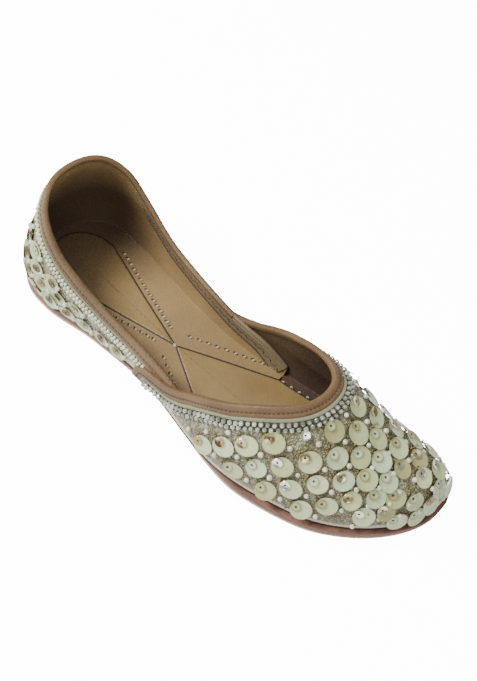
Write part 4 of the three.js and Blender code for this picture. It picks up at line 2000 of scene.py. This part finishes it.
@dataclass
class Vamp:
    """The toe piece: a wide round throat, two wings, and a field of sequins."""

    inner: float = 2.1
    split: float = 3.0
    outer: float = 3.9
    start: float = -30.0
    front: float = 52.5
    half: float = 33.5
    power: float = 2.35
    wing_back: float = -31.0
    corner: float = 9.0
    floor: float = 1.8
    turn_in: tuple[float, float] = (19.8, 24.0)
    binding: float = 5.2
    near_wing: Column = Column(WING_STATIONS, (12, 12.5, 14.5, 20.3, 28.8, 36, 41.8, 46.2))
    far_wing: Column = Column(WING_STATIONS, (13, 13.5, 17, 24, 32, 38, 43, 47))
    columns: int = 300
    rows: int = 50
    softening: int = 260
    row_pitch: float = 9.3
    half_pitch: float = 9.1
    crest: tuple[float, float] = (68.8, -1.3)
    half_count: int = 10
    rows_ahead: int = 10
    rows_behind: int = 13
    slant: float = 0.12
    follow: float = 0.45
    usual_slope: float = 0.3
    fan: float = 0.003
    fan_middle: float = -15.0
    fan_range: tuple[float, float] = (-10.0, 40.0)
    cup_margin: tuple[float, float] = (4.4, 7.0)
    margin_grows: tuple[float, float] = (5.0, 30.0)
    pearl_margin: float = 4.6
    cup_clear: float = 10.4
    pearl_clear: float = 7.8
    pearl_shift: float = 1.2
    disc_lift: float = 0.9
    lean: float = 0.22
    least: float = 8.2
    seam: Seam = Seam(1.65, 0.6, lift=0.68, pitch=2.1)

    def throat_half(self, x: Array) -> Array:
        """Half width of the throat's plan at x: a superellipse."""
        t = np.clip((x - self.start) / (self.front - self.start), 0, 1)
        return self.half * (1 - t**self.power) ** (1 / self.power)

    def half_rim(self, side: float) -> Array:
        """One side of the throat's edge on the chart, from the wing's foot to the front.

        Args:
            side: -1 for the near side, 1 for the far.

        Returns:
            Chart points: up the wing's back, round its corner, along its top, round the throat.
        """
        wing_top = self.near_wing if side < 0 else self.far_wing
        top = float(wing_top(np.array(self.wing_back + self.corner)))
        a = np.linspace(0, np.pi / 2, 26)
        along = np.arange(self.wing_back + self.corner + 0.4, self.front, 0.4)
        x = np.concatenate(
            [np.full(14, self.wing_back), self.wing_back + self.corner * (1 - np.cos(a)), along]
        )
        z = np.concatenate(
            [
                np.linspace(0.8, top - self.corner - 0.3, 14),
                top - self.corner + self.corner * np.sin(a),
                wing_top(along),
            ]
        )
        v, phi = LAST.place(side, x, z, self.outer)
        wing = LAST.at(v, phi, self.outer)
        outside = np.abs(wing[:, 1] - LAST.swing(wing[:, 0])) > self.throat_half(wing[:, 0])
        outside[:60] = False
        join = int(np.argmax(outside)) if outside.any() else len(x)
        theta = np.linspace(np.pi / 2, 0, 260)
        power = 2 / self.power
        front_x = self.start + (self.front - self.start) * np.cos(theta) ** power
        across = self.half * np.sin(theta) ** power
        later = front_x > wing[join - 1, 0]
        plan = np.stack([front_x, LAST.swing(front_x) + side * across], 1)[later]
        ray, share = LAST.ray_through(plan, self.outer)
        round_front = LAST.flat(ray, LAST.lift_for_reach(share))
        return np.concatenate([LAST.flat(v, phi)[:join], round_front])

    def rim(self) -> Array:
        """The throat's whole edge on the chart, near wing to far wing, evenly spaced.

        Returns:
            Chart points.
        """
        halves = []
        for side in (-1.0, 1.0):
            chart = self.half_rim(side)
            chart = read(chart, spaced(chart, count=700))
            for _ in range(self.softening):
                chart[1:-1] = (chart[:-2] + 2 * chart[1:-1] + chart[2:]) / 4
            points = LAST.at(*LAST.from_flat(chart), self.outer)
            halves.append(read(chart, spaced(points, count=self.columns // 2 + 1)))
        return np.concatenate([halves[0], halves[1][::-1][1:]])

    def foot(self) -> tuple[Array, Array]:
        """Loop angles and chart points of the foot, from the near wing round the toe.

        Returns:
            The two arrays.
        """
        ends, _ = LAST.place(
            np.array([-1.0, 1.0]), np.full(2, self.wing_back), np.full(2, 0.5), self.outer
        )
        halves = []
        for end, tip in ((ends[0], -np.pi), (ends[1], np.pi)):
            v = np.linspace(end, tip, 900)
            index = spaced(LAST.foot(v, 0.0), count=self.columns // 2 + 1)
            halves.append(np.interp(index, np.arange(900), v))
        v = np.concatenate([halves[0], halves[1][::-1][1:]])
        return v, LAST.foot(v, 0.0)

    def build(self) -> None:
        """Makes the wall, its lining, and what is sewn to it."""
        rim, (foot_v, foot) = self.rim(), self.foot()
        t = np.linspace(0, 1, self.rows)[None, :, None]
        v, phi = LAST.from_flat(rim[:, None] * (1 - t) + foot[:, None] * t)
        split, outer = LAST.at(v, phi, self.split), LAST.at(v, phi, self.outer)
        above = LAST.over_foot(outer)
        ground = walls(split, outer, {"above": (above, above)})
        make_piece("vamp_ground", ground, UPPER_GROUND.make(), stands_for=("vamp",))
        self.lining(v, phi, foot_v, split)
        line = Line(rim)
        self.edge(line)
        self.trim(line)
        self.decorate(line)
        self.dots()

    def lining(self, v: Array, phi: Array, foot_v: Array, split: Array) -> None:
        """The lining, turned in over the sole ahead of the quarter's wings.

        Args:
            v: loop angles of the wall's grid.
            phi: its lift angles.
            foot_v: loop angles of the foot.
            split: the face between lining and ground.
        """
        inside = LAST.at(v, phi, self.inner)
        lowest = LAST.base + LAST.rise(inside[..., 0]) + self.floor
        inside[..., 2] = np.maximum(inside[..., 2], lowest)
        spine = LAST.spine(foot_v)[:, None]
        foot = LAST.foot(foot_v, self.inner)[:, None]
        turned = 0.02 + 0.5 * smooth(foot[..., 0], *self.turn_in)
        share = 1 - turned[..., None] * np.linspace(0.05, 1, 8)[None, :, None]
        plan = spine + (foot - spine) * share
        top, under = LAST.raised(plan, self.floor), LAST.raised(plan, UNDERSIDE)
        grid_in = np.concatenate([inside, top], 1)
        # painted shade: the lining inside the throat is dimmed, deeper towards the toe
        shade = 0.72 + 0.26 * smooth(grid_in[..., 0], -5, 40)
        shape = walls(grid_in, np.concatenate([split, under], 1), {"shade": (shade, shade)})
        make_piece("vamp_lining", shape, LINING.make())

    def edge(self, line: Line) -> None:
        """Throat binding folded over the edge, with its row of stitches.

        Args:
            line: the throat's edge.
        """
        strip = bound_edge(line, self.inner, self.outer, (self.binding, 2.2), 0.75)
        make_piece(
            "throat_edge_binding", strip, BINDING.make(), stands_for=("throat_binding",)
        )
        thread = BROWN_THREAD.make()
        self.seam.sew("throat_stitches", line, self.outer, 0.5 * self.binding, thread, "thread")

    def trim(self, line: Line) -> None:
        """The pale strip and the paired glass beads set across beside the binding.

        Args:
            line: the throat's edge.
        """
        wide = self.binding
        pale = flat_band(line, self.outer, (wide - 0.2, wide + 1.9), (-0.1, 0.7))
        make_piece("throat_pale_strip", pale, PALE_STRIP.make())
        dark = flat_band(line, self.outer, (wide + 1.7, wide + 6.5), (-0.1, 0.3))
        make_piece("throat_bead_ground", dark, DARK_THREAD.make())
        dice = np.random.default_rng(8)
        places, axes, tints = [], [], []
        for away in (wide + 3.0, wide + 5.35):
            at, turned = line.row(self.outer, away, 1.05, 3.1)
            across = np.stack([-turned[:, 1], turned[:, 0], turned[:, 2]], 1)
            bend = dice.normal(0, 0.09, (2, len(at)))
            places.append(at + dice.normal(0, 0.08, at.shape))
            axes.append(tilted(across, bend[0], bend[1]))
            tints.append(dice.random(len(at)))
        join = np.concatenate
        bead = bead_shape(SIZES.glass, SIZES.glass_length)
        shape = many(bead, join(places), join(axes), {"tint": join(tints)})
        make_piece("throat_glass_beads", shape, GLASS.make(), Edges.CRISP)

    def heading(self, points: Array) -> Array:
        """The way to the toe: level, slanting with the centre line's slope and fanned across.

        Args:
            points: places on the skin.

        Returns:
            Unit directions.
        """
        middle = LAST.swing(points[:, 0])
        slope = LAST.swing(points[:, 0] + 1) - middle
        beside = points[:, 1] - middle - self.fan_middle
        spread = self.fan * np.clip(beside, *self.fan_range)
        bend = self.slant + self.follow * (slope - self.usual_slope) - spread
        return unit(np.stack([np.ones_like(slope), bend, 0 * slope], 1))

    def walk(
        self, start: tuple[Array, Array], toward: Callable, pitch: float, steps: int, count: int
    ) -> list[tuple[Array, Array]]:
        """Walks over the skin, keeping to it at every step.

        Args:
            start: points and their normals.
            toward: gives the directions wanted at points with normals.
            pitch: distance between stops.
            steps: how many steps it takes from stop to stop.
            count: how many stops to make.

        Returns:
            Points and normals at the start and at each stop.
        """
        points, normals = start
        stops = [start]
        for step in range(steps * count):
            ahead = toward(points, normals)
            ahead = unit(ahead - normals * np.sum(ahead * normals, 1, keepdims=True))
            points, normals = skin(self.outer).drop(points + ahead * (pitch / steps))
            if (step + 1) % steps == 0:
                stops.append((points, normals))
        return stops

    def lattice(self) -> tuple[Array, Array, Array]:
        """Nodes of the sequin lattice, walked over the skin in small steps.

        A row is walked across the ridge first. From each of its places a column is walked to the
        toe and another to the wings, along the shoe's own axis.

        Returns:
            Nodes (row, column, 3), their normals, and whether each is a cup rather than a pearl.
        """
        x, beside = self.crest
        origin = np.array([[x, float(LAST.swing(np.array(x))) + beside, 60.0]])
        start = skin(self.outer).drop(origin)
        sides = [
            self.walk(
                start, lambda p, n, s=sign: s * np.cross(n, self.heading(p)), self.half_pitch, 6,
                self.half_count,
            )
            for sign in (-1, 1)
        ]
        across = sides[0][:0:-1] + sides[1]
        seeds = tuple(np.concatenate(part) for part in zip(*across))
        ahead = self.walk(seeds, lambda p, n: self.heading(p), self.row_pitch, 8, self.rows_ahead)
        behind = self.walk(seeds, lambda p, n: -self.heading(p), self.row_pitch, 8, self.rows_behind)
        nodes, normals = (np.stack(part) for part in zip(*(behind[::-1] + ahead[1:])))
        r, c = np.indices(nodes.shape[:2])
        return nodes, normals, (r + c) % 2 == 0

    def decorate(self, line: Line) -> None:
        """Cups and pearls on the lattice, kept clear of the trim, the wing ends and the sole.

        Args:
            line: the throat's edge.
        """
        nodes, normals, is_cup = self.lattice()
        nodes, normals, is_cup = nodes.reshape(-1, 3), normals.reshape(-1, 3), is_cup.reshape(-1)
        edge, _, _ = line.frame(self.outer)
        x, y, z = nodes.T
        away = np.linalg.norm(nodes[:, None] - edge[None], axis=-1).min(1)
        above = LAST.over_foot(nodes)
        opening = (
            (np.abs(y - LAST.swing(x)) < self.throat_half(x))
            & (z > LAST.base + np.where(y < LAST.swing(x), self.near_wing(x), self.far_wing(x)))
            & (x < self.front)
        )
        clear = ~opening & (x > self.wing_back)
        steps = np.stack([np.ones_like(x), np.full_like(x, -0.05), 0 * x], 1)
        axes = axes_from(steps, unit(normals + [0, 0, self.lean]))
        wing, toe = self.cup_margin
        low = above > wing + (toe - wing) * smooth(x, *self.margin_grows)
        past_trim = away > self.binding + self.pearl_clear
        room = away > self.binding + self.cup_clear
        take = thinned(nodes, clear & is_cup & room & low, self.least)
        dots = clear & ~is_cup & past_trim & (above > self.pearl_margin)
        pearls = nodes[dots] - axes[dots, 0] * self.pearl_shift
        Lattice("vamp", seed=23, eye=2.9, lift=1.15).lay(nodes[take], axes[take], pearls, axes[dots])
        alone = clear & is_cup & past_trim & ~room & low
        tone = {"tint": np.linspace(0.5, 1.0, int(alone.sum()))}
        shape = many(disc_shape(), nodes[alone] + axes[alone, 2] * self.disc_lift, axes[alone], tone)
        make_piece("vamp_single_discs", shape, METAL.make(), Edges.CRISP)

    def dots(self) -> None:
        """Thread dots along the turned-in edge at both sides of the forefoot."""
        parts = []
        for side in (-1.0, 1.0):
            x = np.arange(21.5, 62.0, 4.4)
            v = side * np.arccos(-x / LAST.half_length)
            plan = LAST.inset(v, LAST.margin(LAST.edge(v)[:, 0]) + 2.6)
            parts.append(LAST.raised(plan, self.floor + 0.1))
        places = np.concatenate(parts)
        up = np.tile([0.0, 0.0, 1.0], (len(places), 1))
        axes = axes_from(np.tile([1.0, 0.3, 0.0], (len(places), 1)), up)
        shape = many(stitch_shape(2.0, 1.2), places, axes, {})
        make_piece("vamp_thread_dots", shape, THREAD.make())


# ---------------------------------------------------------------------------- camera and stage


@dataclass(frozen=True)
class Studio:
    """Camera, floor and soft light."""

    azimuth: float = 26.18
    elevation: float = 55.39
    roll: float = 21.28
    distance: float = 538.14
    lens: float = 54.8929163
    sensor: float = 36.0
    target: tuple[float, float, float] = (-7.475, 13.253, 16.631)
    floor_glow: float = 13.0
    surround: float = 0.38

    def camera(self) -> None:
        """A camera on a sphere about its target, rolled about its own line of sight."""
        a, e, r = (math.radians(x) for x in (self.azimuth, self.elevation, self.roll))
        back = Vector((math.sin(a) * math.cos(e), -math.cos(a) * math.cos(e), math.sin(e)))
        right = Vector((0, 0, 1)).cross(back).normalized()
        up = back.cross(right)
        x = math.cos(r) * right + math.sin(r) * up
        y = -math.sin(r) * right + math.cos(r) * up
        data = bpy.data.cameras.new("camera")
        data.sensor_width, data.lens = self.sensor, self.lens
        data.clip_start = 0.01
        camera = bpy.data.objects.new("camera", data)
        turn = Matrix((x, y, back)).transposed().to_4x4()
        place = (Vector(self.target) + back * self.distance) * MM
        camera.matrix_world = Matrix.Translation(place) @ turn
        bpy.context.scene.collection.objects.link(camera)
        bpy.context.scene.camera = camera

    def floor(self) -> None:
        """A plain pale floor."""
        mesh = bpy.data.meshes.new("floor")
        mesh.from_pydata([(-3, -3, 0), (3, -3, 0), (3, 3, 0), (-3, 3, 0)], [], [(0, 1, 2, 3)])
        material = bpy.data.materials.new("floor")
        material.use_nodes = True
        shader = material.node_tree.nodes["Principled BSDF"]
        shader.inputs["Base Color"].default_value = (0.92, 0.92, 0.92, 1)
        shader.inputs["Roughness"].default_value = 0.9
        shader.inputs["Emission Color"].default_value = (1, 1, 1, 1)
        nodes = Nodes(material.node_tree)
        seen = nodes.add("ShaderNodeLightPath").outputs["Is Camera Ray"]
        glow = nodes.maths("MULTIPLY", seen, self.floor_glow)
        nodes.tree.links.new(glow, shader.inputs["Emission Strength"])
        mesh.materials.append(material)
        floor = bpy.data.objects.new("floor", mesh)
        bpy.context.scene.collection.objects.link(floor)

    def light(self) -> None:
        """A bright even surround and large soft lamps overhead."""
        world = bpy.data.worlds.new("studio")
        world.use_nodes = True
        background = world.node_tree.nodes["Background"]
        background.inputs[0].default_value = (1, 1, 1, 1)
        nodes = Nodes(world.node_tree)
        seen = nodes.add("ShaderNodeLightPath").outputs["Is Camera Ray"]
        strength = nodes.span(seen, 0.0, 1.0, self.surround, self.floor_glow)
        nodes.tree.links.new(strength, background.inputs[1])
        bpy.context.scene.world = world
        for name, place, size, watts in (
            ("key", (-0.65, -0.6, 1.0), 0.5, 31.0),
            ("overhead", (0.25, 0.3, 1.3), 1.0, 4.0),
            ("front", (0.7, -0.7, 0.8), 0.7, 5.0),
        ):
            data = bpy.data.lights.new(name, "AREA")
            data.size, data.energy = size, watts
            lamp = bpy.data.objects.new(name, data)
            lamp.location = place
            lamp.rotation_euler = (-Vector(place)).to_track_quat("-Z", "Y").to_euler()
            bpy.context.scene.collection.objects.link(lamp)

    def build(self) -> None:
        """Sets up the whole studio."""
        self.camera()
        self.floor()
        self.light()


def main() -> None:
    """Builds the studio and the shoe in the order a maker would."""
    logging.basicConfig(level=logging.INFO, format="%(name)s %(message)s")
    for part in (Studio(), Sole(), SockPads(), Quarter(), Vamp()):
        part.build()
        log.info("%s done", type(part).__name__)


if __name__ == "__main__":
    main()
